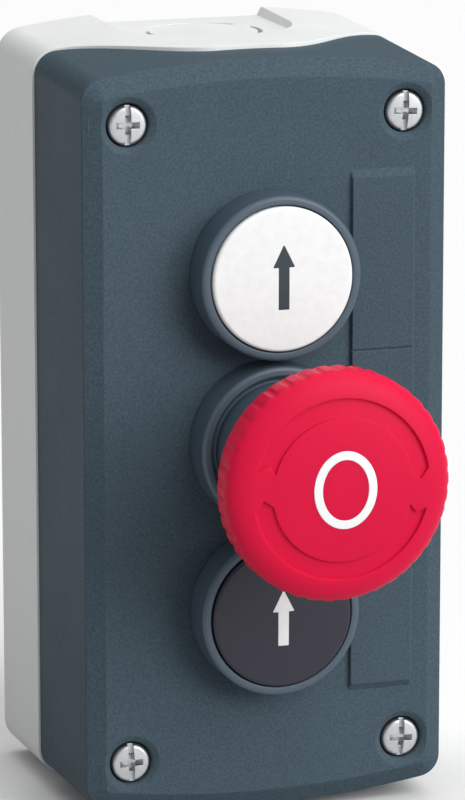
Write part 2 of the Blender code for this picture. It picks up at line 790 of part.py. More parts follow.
def button_cap(station, colour, at, finish):
    """The moulded cap with its crowned face, guide skirt and central stem."""
    top = DEPTH + CAP_RISE
    rim_top = top - CAP_CROWN
    rim_back = rim_top - CAP_RIM
    skirt = TUBE_BORE - CLEARANCE
    skirt_end = TUBE_END + LEDGE_THICK + BUTTON_TRAVEL + CLEARANCE
    profile = [
        (0, top),
        (CAP_RADIUS / 2, top - CAP_CROWN / 4),
        (CAP_RADIUS - CAP_EDGE, rim_top),
        (CAP_RADIUS, rim_top - CAP_EDGE),
        (CAP_RADIUS, rim_back),
        (skirt, rim_back),
        (skirt, skirt_end),
        (skirt - SKIRT_WALL, skirt_end),
        (skirt - SKIRT_WALL, cap_underside()),
        (STEM_RADIUS, cap_underside()),
        (STEM_RADIUS, STEM_END),
        (0, STEM_END),
    ]
    cap = station.add(f"{colour}_cap", turned_mesh(f"{colour}_cap", profile, closed=False), finish, at)
    return turn(cap)


def panel_seal(station, head, at):
    """The flat rubber ring under a bezel's rim."""
    low = DEPTH + CLEARANCE
    profile = [
        (SEAL_OUTER, low + SEAL_THICK),
        (SEAL_OUTER, low),
        (SEAL_INNER, low),
        (SEAL_INNER, low + SEAL_THICK),
    ]
    seal = station.add(f"{head}_seal", turned_mesh(f"{head}_seal", profile, closed=True), station.rubber, at)
    return turn(seal)


def head_spring(station, head, at, radius, low, high):
    name = f"{head}_spring"
    wire = coil_curve(name, radius, HEAD_SPRING_WIRE, low, high, SPRING_TURNS)
    return station.add(name, wire, station.spring_steel, at)


def clamp_frame(station, head, at):
    """The frame behind the cover that holds a head and carries its contact block."""
    low = TUBE_END
    high = DEPTH - FRONT_WALL - CLEARANCE
    name = f"{head}_clamp_frame"
    plate = flat_mesh(name, [rounded_rectangle(FRAME_LENGTH, FRAME_HEIGHT, FRAME_CORNER)], low, high)
    frame = station.add(name, plate, station.dark_grey, at)
    bore = TUBE_RADIUS + CLEARANCE
    hole = cone_mesh(f"{head}_frame_bore", bore, bore, low - PAST, high + PAST, ROUND_STEPS)
    return cut(frame, station.cutter(f"{head}_frame_bore", hole, at=at))


def stop_head(station, row):
    """The mushroom stop head: body with collar, plunger, latch ring, spring and knob."""
    at = (0, row, 0)
    rim = BEZEL_RADIUS - BEZEL_LIP
    bore = NECK_RADIUS + CLEARANCE
    dish = DEPTH + BEZEL_RISE - BEZEL_LIP
    profile = bezel_profile(rim)[:-1] + [
        (bore, TUBE_END + LEDGE_THICK),
        (bore, COLLAR_TOP),
        (COLLAR_RADIUS - BEZEL_ROUND, COLLAR_TOP),
        (COLLAR_RADIUS, COLLAR_TOP - BEZEL_ROUND),
        (COLLAR_RADIUS, dish),
        (rim - BEZEL_ROUND, dish),
    ]
    body = station.add("stop_bezel", turned_mesh("stop_bezel", profile, closed=True), station.dark_grey, at)
    turn(body)
    tube_key(station, body, "stop", at)
    panel_seal(station, "stop", at)
    stop_plunger(station, at)
    latch_low = TUBE_END + LEDGE_THICK + CLEARANCE
    latch = [
        (POCKET_RADIUS - CLEARANCE, latch_low + LATCH_HIGH),
        (POCKET_RADIUS - CLEARANCE, latch_low),
        (NOSE_RADIUS + CLEARANCE, latch_low),
        (NOSE_RADIUS + CLEARANCE, latch_low + LATCH_HIGH),
    ]
    ring = station.add("stop_latch_ring", turned_mesh("stop_latch_ring", latch, closed=True), station.zinc, at)
    turn(ring)
    spring_low = latch_low + LATCH_HIGH + CLEARANCE
    head_spring(station, "stop", at, STOP_SPRING_RADIUS, spring_low, POCKET_TOP - CLEARANCE)
    clamp_frame(station, "stop", at)
    stop_knob(station, at)


def neck_top():
    """Height of the plunger's shoulder, just behind the knob's hub."""
    return KNOB_TOP - KNOB_HIGH - CLEARANCE - KNOB_UNDERCUT


def stop_plunger(station, at):
    """The neck and nose that carry the push from the knob to the contacts."""
    shoulder = neck_top()
    sleeve_end = TUBE_END + LEDGE_THICK + STOP_TRAVEL + 2 * CLEARANCE
    profile = [
        (0, shoulder + SPIGOT_LENGTH),
        (SPIGOT_RADIUS, shoulder + SPIGOT_LENGTH),
        (SPIGOT_RADIUS, shoulder),
        (NECK_RADIUS, shoulder),
        (NECK_RADIUS, sleeve_end),
        (POCKET_RADIUS, sleeve_end),
        (POCKET_RADIUS, POCKET_TOP),
        (NOSE_RADIUS, POCKET_TOP),
        (NOSE_RADIUS, STEM_END),
        (0, STEM_END),
    ]
    plunger = station.add(
        "stop_plunger", turned_mesh("stop_plunger", profile, closed=False), station.black, at
    )
    return turn(plunger)


def stop_knob(station, at):
    """The mushroom: crowned face, notched grip and a hollow back round its hub."""
    edge = KNOB_TOP - KNOB_EDGE_DROP
    grip_back = edge - KNOB_GRIP_HIGH
    back = KNOB_TOP - KNOB_HIGH
    hub_back = back - KNOB_UNDERCUT
    bore = SPIGOT_RADIUS + CLEARANCE
    bore_top = hub_back - CLEARANCE + SPIGOT_LENGTH + CLEARANCE
    hollow = back + KNOB_UNDERCUT
    rim = KNOB_RADIUS - KNOB_BACK_TAPER
    face = KNOB_TOP - KNOB_CROWN
    profile = [
        (0, KNOB_TOP),
        (KNOB_FACE_RADIUS / 2, KNOB_TOP - KNOB_CROWN / 4),
        *shoulder(KNOB_FACE_RADIUS, face, KNOB_RADIUS, face - edge),
        (KNOB_RADIUS, grip_back),
        (KNOB_RADIUS - KNOB_GRIP_TAPER, (grip_back + back) / 2),
        (rim, back),
        (rim - KNOB_WALL / 2, back),
        (rim - KNOB_WALL, hollow),
        (HUB_RADIUS + KNOB_WALL / 2, hollow),
        (HUB_RADIUS, back),
        (HUB_RADIUS, hub_back),
        (bore, hub_back),
        (bore, bore_top),
        (0, bore_top),
    ]
    knob = station.add("stop_knob", turned_mesh("stop_knob", profile, closed=False), station.red, at)
    turn(knob, GRIP_NOTCHES)
    pitch = 360 / GRIP_NOTCHES
    ring = KNOB_RADIUS + NOTCH_RADIUS - NOTCH_DEEP
    centres = arc((0, 0), ring, pitch / 2, 360 - pitch / 2, GRIP_NOTCHES - 1)
    notches = cone_mesh(
        "grip_notches", NOTCH_RADIUS, NOTCH_RADIUS, back - PAST, edge, NOTCH_STEPS, centres
    )
    cut(knob, station.cutter("grip_notches", notches, at=at))
    cut(knob, arrow_cutter(station, at))
    return knob


def arrow_cutter(station, at):
    """Two curved arrows that point clockwise, sunk deeper at their outer edge."""
    face = KNOB_TOP - KNOB_CROWN
    wedge = [
        (ARROW_OUTER + CLEARANCE, face + PAST),
        (ARROW_OUTER + CLEARANCE, face - ARROW_DEEP),
        (ARROW_INNER - CLEARANCE, face - ARROW_SHALLOW),
        (ARROW_INNER - CLEARANCE, face + PAST),
    ]
    ring = turn(station.cutter("arrow_ring", turned_mesh("arrow_ring", wedge, closed=True), at=at))
    middle = (ARROW_INNER + ARROW_OUTER) / 2
    outlines = []
    for turned in (0, 180):
        tail, neck = ARROW_TAIL + turned, ARROW_NECK + turned
        outer = arc((0, 0), ARROW_OUTER, tail, neck, SMALL_STEPS)
        inner = arc((0, 0), ARROW_INNER, neck, tail, SMALL_STEPS)
        tip = on_circle(middle, ARROW_TIP + turned)
        notch = on_circle(middle, ARROW_TAIL_NOTCH + turned)
        outlines.append([*outer, tip, *inner, notch])
    arrows = flat_mesh("arrow_outlines", outlines, face - KNOB_EDGE_DROP, face + PAST / 2)
    return cut(station.cutter("arrow_outlines", arrows, at=at), ring, "INTERSECT")


# Contact blocks


def contact_block(station, head, row, normally_open):
    """One snap-action-free contact block: housing, plunger, bridge, spring and two terminals."""
    at = (0, row, 0)
    bridge_top = BRIDGE_SHOULDER - CLEARANCE
    bridge_back = bridge_top - METAL_THICK
    if normally_open:
        strip_top = bridge_back - BUTTON_TRAVEL - CLEARANCE
    else:
        strip_top = bridge_top + CLEARANCE + METAL_THICK
    block_housing(station, head, at, strip_top)
    plunger_top = STEM_END - CLEARANCE
    profile = [
        (0, plunger_top),
        (PLUNGER_RADIUS * 0.6, plunger_top),
        (PLUNGER_RADIUS, plunger_top - PLUNGER_RADIUS * 0.4),
        (PLUNGER_RADIUS, BRIDGE_SHOULDER),
        (SPINDLE_RADIUS, BRIDGE_SHOULDER),
        (SPINDLE_RADIUS, SPINDLE_END),
        (0, SPINDLE_END),
    ]
    name = f"{head}_contact_plunger"
    turn(station.add(name, turned_mesh(name, profile, closed=False), station.white, at), TINY_STEPS)
    bridge_strip(station, head, at, bridge_back, bridge_top)
    wire = coil_curve(
        f"{head}_contact_spring",
        CONTACT_SPRING_RADIUS,
        CONTACT_SPRING_WIRE,
        CHAMBER_FLOOR + CLEARANCE,
        bridge_back - CLEARANCE,
        SPRING_TURNS,
    )
    station.add(f"{head}_contact_spring", wire, station.spring_steel, at)
    for side, sign in (("left", -1), ("right", 1)):
        terminal(station, head, at, side, sign, strip_top)


def block_outline():
    """Side view of a contact block: raised middle, lower terminal shoulders, chamfered back."""
    top = TUBE_END - CLEARANCE
    half = BLOCK_LENGTH / 2
    crown = BLOCK_CROWN / 2
    right = [
        (crown, top),
        (crown + BLOCK_CHAMFER, top - BLOCK_SHOULDER),
        (half, top - BLOCK_SHOULDER),
        (half, BLOCK_BACK + BLOCK_CHAMFER),
        (half - BLOCK_CHAMFER, BLOCK_BACK),
    ]
    return right + [(-x, z) for x, z in reversed(right)]


def block_housing(station, head, at, strip_top):
    """The moulded housing with its contact chamber, plunger guide, terminal slots and wells."""
    half = BLOCK_WIDTH / 2
    name = f"{head}_contact_housing"
    mesh = flat_mesh(name, [block_outline()], -half, half)
    mesh.transform(Matrix.Rotation(math.pi / 2, 4, "X"))
    housing = station.add(name, mesh, station.housing_grey, at)
    reach = BRIDGE_LENGTH / 2 + 2 * CLEARANCE
    side = TERMINAL_WIDTH / 2 + CLEARANCE
    chamber_side = side + 2 * CLEARANCE
    chamber = box_mesh(
        f"{head}_chamber", (-reach, -chamber_side, CHAMBER_FLOOR), (reach, chamber_side, CHAMBER_TOP)
    )
    cut(housing, station.cutter(f"{head}_chamber", chamber, at=at))
    guide = PLUNGER_RADIUS + CLEARANCE
    guide_hole = cone_mesh(
        f"{head}_guide", guide, guide, CHAMBER_TOP - PAST, TUBE_END + PAST, TINY_STEPS
    )
    cut(housing, station.cutter(f"{head}_guide", guide_hole, at=at))
    slot = box_mesh(
        f"{head}_terminal_slot",
        (-BLOCK_LENGTH, -side, strip_top - METAL_THICK - CLEARANCE),
        (BLOCK_LENGTH, side, strip_top + CLEARANCE),
    )
    cut(housing, station.cutter(f"{head}_terminal_slot", slot, at=at))
    well = TERMINAL_HEAD_RADIUS + CLEARANCE
    centres = [(sign * TERMINAL_SCREW_X, 0) for sign in (-1, 1)]
    wells = cone_mesh(f"{head}_wells", well, well, strip_top, TUBE_END + PAST, SMALL_STEPS, centres)
    cut(housing, station.cutter(f"{head}_wells", wells, at=at))
    bore = TERMINAL_SHANK_RADIUS + CLEARANCE
    bore_end = strip_top + CLEARANCE - TERMINAL_SCREW_LENGTH - CLEARANCE
    bores = cone_mesh(f"{head}_screw_bores", bore, bore, bore_end, strip_top, TINY_STEPS, centres)
    return cut(housing, station.cutter(f"{head}_screw_bores", bores, at=at))


def bridge_strip(station, head, at, low, high):
    """The moving bridge, with a hole for the plunger's spindle."""
    name = f"{head}_contact_bridge"
    outline = rounded_rectangle(BRIDGE_LENGTH, BRIDGE_WIDTH, BRIDGE_WIDTH / 3)
    hole = SPINDLE_RADIUS + CLEARANCE / 2
    ring = arc((0, 0), hole, 360, 360 / TINY_STEPS, TINY_STEPS - 1)
    return station.add(name, flat_mesh(name, [outline, ring], low, high), station.brass, at)


def terminal(station, head, at, side, sign, strip_top):
    """A fixed contact strip and the screw that clamps a wire to it."""
    name = f"{head}_terminal_{side}"
    inner, outer = TERMINAL_INNER, BLOCK_LENGTH / 2 - CLEARANCE
    half = TERMINAL_WIDTH / 2
    outline = [(sign * x, sign * y) for x, y in ((inner, -half), (outer, -half), (outer, half), (inner, half))]
    centre = (sign * TERMINAL_SCREW_X, 0)
    hole = arc(centre, TERMINAL_SHANK_RADIUS + CLEARANCE, 360, 360 / TINY_STEPS, TINY_STEPS - 1)
    strip = flat_mesh(name, [outline, hole], strip_top - METAL_THICK, strip_top)
    station.add(name, strip, station.brass, at)
    under = strip_top + CLEARANCE
    top = under + TERMINAL_HEAD_HIGH
    profile = [
        (0, top),
        (TERMINAL_HEAD_RADIUS * 0.8, top),
        (TERMINAL_HEAD_RADIUS, top - TERMINAL_HEAD_HIGH * 0.3),
        (TERMINAL_HEAD_RADIUS, under),
        (TERMINAL_SHANK_RADIUS, under),
        (TERMINAL_SHANK_RADIUS, under - TERMINAL_SCREW_LENGTH),
        (0, under - TERMINAL_SCREW_LENGTH),
    ]
    name = f"{head}_terminal_screw_{side}"
    place = (centre[0], at[1], 0)
    screw = station.add(name, turned_mesh(name, profile, closed=False), station.zinc, place)
    turn(screw, TINY_STEPS)
    reach = TERMINAL_HEAD_RADIUS + PAST
    slot = box_mesh(
        name + "_slot", (-reach, -DRIVE_WIDTH / 2, top - SLOT_DEEP), (reach, DRIVE_WIDTH / 2, top + PAST)
    )
    return cut(screw, station.cutter(name + "_slot", slot, at=place))


def smooth_round_pieces(station):
    """Shades curved faces smooth and keeps the real edges sharp."""
    for piece in station.parts.objects:
        if piece.type == "MESH":
            piece.data.shade_smooth()
            piece.data.set_sharp_from_angle(angle=math.radians(35))


def main():
    clear_scene()
    station = Station()
    base_box(station)
    front_cover(station)
    cover_gasket(station)
    cover_screws(station)
    button_head(station, "white", HEAD_ROWS["white"], station.white)
    button_head(station, "black", HEAD_ROWS["black"], station.black)
    stop_head(station, HEAD_ROWS["stop"])
    for head, row in HEAD_ROWS.items():
        contact_block(station, head, row, normally_open=head != "stop")
    smooth_round_pieces(station)


main()
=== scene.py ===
"""Looks of a wall-mounted control station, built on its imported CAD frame.

Pieces are drawn in the station's own frame, x to the right, y up and z out of the wall, and
are turned once into the world, where the box stands along +Z and its front faces -Y.
Lengths are metres. Sizes repeat the CAD's, with finer curves and softer edges.
"""

from __future__ import annotations

import logging
import math
from dataclasses import dataclass, field
from enum import Enum
from typing import Callable, Mapping, Sequence

import bmesh
import bpy
from mathutils import Euler, Matrix, Vector

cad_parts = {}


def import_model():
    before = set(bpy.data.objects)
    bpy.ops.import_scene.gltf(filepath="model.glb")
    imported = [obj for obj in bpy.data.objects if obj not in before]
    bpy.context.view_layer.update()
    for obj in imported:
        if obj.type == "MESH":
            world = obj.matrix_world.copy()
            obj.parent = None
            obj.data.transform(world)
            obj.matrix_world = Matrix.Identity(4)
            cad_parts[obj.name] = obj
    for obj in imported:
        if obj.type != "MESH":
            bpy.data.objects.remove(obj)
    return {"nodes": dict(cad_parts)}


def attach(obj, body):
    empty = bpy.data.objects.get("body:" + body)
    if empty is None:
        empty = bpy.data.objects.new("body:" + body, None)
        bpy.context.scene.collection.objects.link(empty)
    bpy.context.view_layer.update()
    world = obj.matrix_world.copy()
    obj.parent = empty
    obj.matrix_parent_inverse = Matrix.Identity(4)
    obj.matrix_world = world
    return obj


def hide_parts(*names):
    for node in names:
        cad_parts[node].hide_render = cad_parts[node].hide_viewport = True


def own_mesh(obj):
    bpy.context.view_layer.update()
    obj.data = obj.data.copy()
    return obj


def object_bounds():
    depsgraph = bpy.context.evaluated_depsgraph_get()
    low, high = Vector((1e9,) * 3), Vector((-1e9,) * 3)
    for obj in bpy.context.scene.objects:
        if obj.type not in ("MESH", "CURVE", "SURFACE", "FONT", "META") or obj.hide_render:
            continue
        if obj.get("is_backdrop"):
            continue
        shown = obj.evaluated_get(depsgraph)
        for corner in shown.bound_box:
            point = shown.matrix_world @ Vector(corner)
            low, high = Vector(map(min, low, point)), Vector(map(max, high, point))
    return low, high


Mesh = bpy.types.Mesh
Socket = bpy.types.NodeSocket
Material = bpy.types.Material
Point2 = tuple[float, float]
Point3 = tuple[float, float, float]
Colour = tuple[float, float, float, float]
Section = tuple[Sequence[Point2], float]

MM = 0.001
PAST = 2 * MM
MERGE = 0.001 * MM
CLEARANCE = 0.25 * MM
SHARP_ANGLE = math.radians(24)
FULL_TURN = 2 * math.pi
STATION_TO_WORLD = Matrix(((1, 0, 0, 0), (0, 0, -1, 0), (0, 1, 0, 0), (0, 0, 0, 1)))
NOISE_RANGE = (0.3, 0.7)

log = logging.getLogger("control_station")


# Mesh tools


class Operation(Enum):
    """What a second solid does to the first."""

    CUT = "DIFFERENCE"
    JOIN = "UNION"
    KEEP = "INTERSECT"


def mesh_from(name: str, form: bmesh.types.BMesh) -> Mesh:
    """Turns an edit mesh, which is freed, into mesh data whose faces point outwards."""
    bmesh.ops.recalc_face_normals(form, faces=form.faces)
    mesh = bpy.data.meshes.new(name)
    form.to_mesh(mesh)
    form.free()
    return mesh


def skin(name: str, rings: Sequence[Sequence[Point3]]) -> Mesh:
    """Covers a stack of closed rings and closes it at both ends.

    Args:
        name: Name of the mesh.
        rings: Rings with the same number of points.

    Returns:
        A closed mesh.
    """
    form = bmesh.new()
    rows = [[form.verts.new(point) for point in ring] for ring in rings]
    count = len(rows[0])
    for lower, upper in zip(rows, rows[1:]):
        for i in range(count):
            j = (i + 1) % count
            form.faces.new((lower[i], lower[j], upper[j], upper[i]))
    form.faces.new(rows[0][::-1])
    form.faces.new(rows[-1])
    return mesh_from(name, form)


def upright(name: str, sections: Sequence[Section]) -> Mesh:
    """Makes a solid through outlines in x and y, each with its depth z."""
    return skin(name, [[(x, y, z) for x, y in outline] for outline, z in sections])


def lying(name: str, sections: Sequence[Section]) -> Mesh:
    """Makes a solid through outlines in x and z, each with its height y."""
    return skin(name, [[(x, y, z) for x, z in outline] for outline, y in sections])


def turned(
    name: str,
    profile: Sequence[Point2],
    steps: int = 128,
    closed: bool = False,
    at: Point2 = (0.0, 0.0),
) -> Mesh:
    """Turns a profile about an axis that stands out of the wall.

    Args:
        name: Name of the mesh.
        profile: Radius and height of each point.
        steps: Columns of faces round the axis.
        closed: Whether the last point joins the first.
        at: Where the axis stands, in x and y.

    Returns:
        A closed mesh.
    """
    form = bmesh.new()
    angles = [FULL_TURN * i / steps for i in range(steps)]
    rows = []
    for radius, height in profile:
        ring = angles if radius > CLEARANCE / 10 else angles[:1]
        rows.append(
            [
                form.verts.new((at[0] + radius * math.cos(a), at[1] + radius * math.sin(a), height))
                for a in ring
            ]
        )
    pairs = list(zip(rows, rows[1:]))
    if closed:
        pairs.append((rows[-1], rows[0]))
    for lower, upper in pairs:
        for i in range(steps):
            j = (i + 1) % steps
            around = ((lower, i), (lower, j), (upper, j), (upper, i))
            form.faces.new(list(dict.fromkeys(row[k % len(row)] for row, k in around)))
    return mesh_from(name, form)


def block(name: str, low: Point3, high: Point3) -> Mesh:
    """Makes a box between its lowest and its highest corner."""
    outline = [(low[0], low[1]), (high[0], low[1]), (high[0], high[1]), (low[0], high[1])]
    return upright(name, [(outline, low[2]), (outline, high[2])])


def together(name: str, meshes: Sequence[Mesh]) -> Mesh:
    """Puts separate solids, which are removed, into one mesh."""
    form = bmesh.new()
    for mesh in meshes:
        form.from_mesh(mesh)
        bpy.data.meshes.remove(mesh)
    return mesh_from(name, form)


def applied(mesh: Mesh, kind: str, settings: Mapping[str, object]) -> Mesh:
    """Runs one modifier on a mesh and keeps its result as plain mesh data.

    Args:
        mesh: The mesh, which is removed.
        kind: Blender's type of the modifier.
        settings: Its properties, and for Geometry Nodes its inputs by identifier.

    Returns:
        The new mesh, under the old name.
    """
    name = mesh.name
    carrier = bpy.data.objects.new(name, mesh)
    bpy.context.scene.collection.objects.link(carrier)
    modifier = carrier.modifiers.new(kind.lower(), kind)
    for key, value in settings.items():
        if hasattr(modifier, key):
            setattr(modifier, key, value)
        else:
            modifier[key] = value
    graph = bpy.context.evaluated_depsgraph_get()
    result = bpy.data.meshes.new_from_object(
        carrier.evaluated_get(graph), preserve_all_data_layers=True, depsgraph=graph
    )
    bpy.data.objects.remove(carrier)
    bpy.data.meshes.remove(mesh)
    result.name = name
    return result


def carve(body: Mesh, tool: Mesh, operation: Operation = Operation.CUT) -> Mesh:
    """Cuts a solid with another, joins it to it or keeps what they share.

    Args:
        body: The solid that is worked on, which is removed.
        tool: The second solid, which is removed.
        operation: What the second solid does.

    Returns:
        The worked solid.
    """
    helper = bpy.data.objects.new("tool", tool)
    bpy.context.scene.collection.objects.link(helper)
    settings = {"operation": operation.value, "solver": "EXACT", "object": helper}
    result = applied(body, "BOOLEAN", settings)
    bpy.data.objects.remove(helper)
    bpy.data.meshes.remove(tool)
    return result


def arc(centre: Point2, radius: float, start: float, end: float, steps: int) -> list[Point2]:
    """Lists points along an arc, both ends among them.

    Args:
        centre: Middle of the arc.
        radius: Its radius.
        start: First angle, in degrees.
        end: Last angle, in degrees.
        steps: Number of pieces that the arc is split into.

    Returns:
        The points.
    """
    angles = [math.radians(start + (end - start) * i / steps) for i in range(steps + 1)]
    return [(centre[0] + radius * math.cos(a), centre[1] + radius * math.sin(a)) for a in angles]


def filleted(corners: Sequence[Point3], closed: bool = False, steps: int = 5) -> list[Point2]:
    """Rounds the corners of a path.

    Args:
        corners: First and second coordinate of each corner, and the radius of its rounding.
        closed: Whether the path runs back to its first corner.
        steps: Number of pieces in each rounding.

    Returns:
        The points of the rounded path.
    """
    points: list[Point2] = []
    count = len(corners)
    for i, (x, y, radius) in enumerate(corners):
        if radius <= 0 or (not closed and i in (0, count - 1)):
            points.append((x, y))
            continue
        here = Vector((x, y))
        before = Vector(corners[i - 1][:2]) - here
        after = Vector(corners[(i + 1) % count][:2]) - here
        opening = before.angle(after) / 2
        # Two roundings share each side, so each takes just under half of it.
        room = 0.49 * min(before.length, after.length)
        reach = min(radius / math.tan(opening), room)
        true_radius = reach * math.tan(opening)
        before.normalize()
        after.normalize()
        middle = here + (before + after).normalized() * true_radius / math.sin(opening)
        first = here + before * reach - middle
        last = here + after * reach - middle
        swing = first.angle_signed(last)
        for step in range(steps + 1):
            spoke = first.copy()
            spoke.rotate(Matrix.Rotation(-swing * step / steps, 2))
            points.append((middle.x + spoke.x, middle.y + spoke.y))
    return points


def rectangle(width: float, height: float, corner: float, steps: int = 6) -> list[Point2]:
    """Lists the outline of a rectangle round the middle, with round corners."""
    x, y = width / 2, height / 2
    corners_round = [(x, -y, corner), (x, y, corner), (-x, y, corner), (-x, -y, corner)]
    return filleted(corners_round, closed=True, steps=steps)


def softened(mesh: Mesh) -> Mesh:
    """Shades curves smooth, keeps edges and lets large flats keep their own normals."""
    mesh.shade_smooth()
    mesh.set_sharp_from_angle(angle=SHARP_ANGLE)
    return applied(
        mesh, "WEIGHTED_NORMAL", {"mode": "FACE_AREA", "weight": 80, "keep_sharp": True}
    )


def corners(across: float, along: float) -> list[Point2]:
    """Lists the four corners of a rectangle round the middle."""
    return [(x * across / 2, y * along / 2) for x in (-1, 1) for y in (1, -1)]


def drum(radius: float, low: float, high: float) -> list[Point2]:
    """Gives the profile of a plain cylinder between two heights."""
    return [(0, low), (radius, low), (radius, high), (0, high)]


def columns(
    name: str, profile: Sequence[Point2], centres: Sequence[Point2], steps: int = 48
) -> Mesh:
    """Makes the same turned solid at several places.

    Args:
        name: Name of the mesh.
        profile: Radius and height of each point, from pole to pole.
        centres: Where the axes stand.
        steps: Columns of faces round each axis.

    Returns:
        One mesh of separate solids.
    """
    return together(name, [turned(name, profile, steps, at=centre) for centre in centres])


# Node tools


def fill(node: bpy.types.Node, inputs: Mapping[str | int, object]) -> None:
    """Sets inputs of a node, each to a constant or to the output that feeds it."""
    for key, value in inputs.items():
        if isinstance(value, Socket):
            node.id_data.links.new(value, node.inputs[key])
        else:
            node.inputs[key].default_value = value


def add_node(
    tree: bpy.types.NodeTree,
    kind: str,
    settings: Mapping[str, object] | None = None,
    inputs: Mapping[str | int, object] | None = None,
) -> bpy.types.Node:
    """Adds a node, sets its properties and fills its inputs.

    Args:
        tree: The tree that gets the node.
        kind: Blender's type of the node.
        settings: Properties of the node.
        inputs: Inputs by name or number, each with a constant or the output that feeds it.

    Returns:
        The new node.
    """
    node = tree.nodes.new(kind)
    for key, value in (settings or {}).items():
        setattr(node, key, value)
    fill(node, inputs or {})
    return node


@dataclass(frozen=True)
class Graph:
    """A node tree with short ways to add the nodes that come back often."""

    tree: bpy.types.NodeTree

    def add(
        self,
        kind: str,
        settings: Mapping[str, object] | None = None,
        inputs: Mapping[str | int, object] | None = None,
    ) -> Mapping[str | int, Socket]:
        """Adds a node as add_node does and gives its outputs."""
        return add_node(self.tree, kind, settings, inputs).outputs

    def noise(self, place: Socket, size: float, detail: float, **more: float) -> Socket:
        """Adds noise.

        Args:
            place: Where it is read.
            size: Size of its grains in metres.
            detail: How many finer layers it has.
            more: Other inputs of the node.

        Returns:
            Its value, round 0.5.
        """
        inputs = {"Vector": place, "Scale": 1 / size, "Detail": detail, **more}
        return self.add("ShaderNodeTexNoise", inputs=inputs)["Fac"]

    def mix(self, share: Socket, low: object, high: object) -> Socket:
        """Mixes two colours."""
        return self.add("ShaderNodeMix", {"data_type": "RGBA"}, {0: share, 6: low, 7: high})[2]

    def remap(
        self,
        value: Socket,
        source: tuple[object, object],
        target: tuple[object, object] = (0.0, 1.0),
        kind: str = "LINEAR",
    ) -> Socket:
        """Moves a value from one range to another and keeps it inside.

        Args:
            value: The value.
            source: Both ends of the range that it comes from.
            target: What these two ends become.
            kind: Blender's name for the way from one to the other.

        Returns:
            The new value.
        """
        names = ("From Min", "From Max", "To Min", "To Max")
        inputs = {"Value": value, **dict(zip(names, (*source, *target)))}
        return self.add("ShaderNodeMapRange", {"interpolation_type": kind}, inputs)[0]

    def calc(self, operation: str, *values: object) -> Socket:
        """Works out one sum of one or two values."""
        return self.add("ShaderNodeMath", {"operation": operation}, dict(enumerate(values)))[0]

    def vector(
        self, operation: str, inputs: Mapping[str | int, object]
    ) -> Mapping[str | int, Socket]:
        """Works out one sum of vectors and gives the node's outputs."""
        return self.add("ShaderNodeVectorMath", {"operation": operation}, inputs)

    def bump(self, height: Socket, depth: float, **more: Socket) -> Socket:
        """Turns a height into a normal.

        Args:
            height: The height, from 0 to 1.
            depth: What a height of 1 is in metres.
            more: The normal that it is laid on, if there is one.

        Returns:
            The new normal.
        """
        inputs = {"Strength": 1.0, "Distance": depth, "Height": height, **more}
        return self.add("ShaderNodeBump", inputs=inputs)["Normal"]

    def rounded(self, radius: float) -> Socket:
        """Gives the normal of a surface whose edges are rounded by a radius."""
        return self.add("ShaderNodeBevel", {"samples": 6}, {"Radius": radius})["Normal"]


def new_material(name: str, surface: Callable[[Graph], Mapping[str, object]]) -> Material:
    """Builds a material.

    Args:
        name: Its name.
        surface: Adds nodes to the graph that it is given, and lists the shader's inputs.

    Returns:
        The new material.
    """
    made = bpy.data.materials.new(name)
    made.use_nodes = True
    fill(made.node_tree.nodes["Principled BSDF"], surface(Graph(made.node_tree)))
    return made


def grown(
    mesh: Mesh,
    name: str,
    shape: Callable[[Graph, Mapping[str, Socket]], Socket],
    values: Mapping[str, float | int],
    material: Material,
) -> Mesh:
    """Builds a Geometry Nodes tree, runs it on a mesh and removes it.

    Args:
        mesh: The mesh, which is removed.
        name: Name of the tree.
        shape: Adds nodes to the graph, works on the tree's inputs and gives the new geometry.
        values: The tree's inputs beside the mesh and the material.
        material: The material of the result.

    Returns:
        The plain mesh that comes out.
    """
    tree = bpy.data.node_groups.new(name, "GeometryNodeTree")
    kinds = {"Mesh": "NodeSocketGeometry", "Material": "NodeSocketMaterial"}
    for key, value in values.items():
        kinds[key] = "NodeSocketInt" if isinstance(value, int) else "NodeSocketFloat"
    names = {
        key: tree.interface.new_socket(key, in_out="INPUT", socket_type=kind).identifier
        for key, kind in kinds.items()
    }
    tree.interface.new_socket("Result", in_out="OUTPUT", socket_type="NodeSocketGeometry")
    graph = Graph(tree)
    given = graph.add("NodeGroupInput")
    plain = graph.add("GeometryNodeRealizeInstances", inputs={"Geometry": shape(graph, given)})
    dressing = {"Geometry": plain["Geometry"], "Material": given["Material"]}
    dressed = graph.add("GeometryNodeSetMaterial", inputs=dressing)
    graph.add("NodeGroupOutput", inputs={"Result": dressed["Geometry"]})
    settings = {"node_group": tree, names["Material"]: material}
    settings.update({names[key]: value for key, value in values.items()})
    result = applied(mesh, "NODES", settings)
    bpy.data.node_groups.remove(tree)
    return result


def linear(hex_colour: str, gain: float = 1.0) -> Colour:
    """Turns an sRGB hex value into the linear colour that shaders take.

    Args:
        hex_colour: Six hex digits.
        gain: What the linear colour is multiplied by.

    Returns:
        Red, green, blue and a full alpha.
    """
    parts = [int(hex_colour[i : i + 2], 16) / 255 for i in (0, 2, 4)]
    shades = [c / 12.92 if c <= 0.04045 else ((c + 0.055) / 1.055) ** 2.4 for c in parts]
    return (shades[0] * gain, shades[1] * gain, shades[2] * gain, 1.0)


# Finishes


class MouldTexture(Enum):
    """How the steel of a mould was worked, as grain size and grain depth in metres."""

    SPARK_ERODED = (0.42 * MM, 0.011 * MM)
    FINE_MATT = (0.36 * MM, 0.005 * MM)
    POLISHED = (1.8 * MM, 0.0015 * MM)


@dataclass(frozen=True)
class Finish:
    """What a piece is made of and how its surface was worked."""

    name: str
    slot: str

    def surface(self, graph: Graph) -> dict[str, object]:
        """Adds the finish's nodes and lists the shader's inputs."""
        raise NotImplementedError


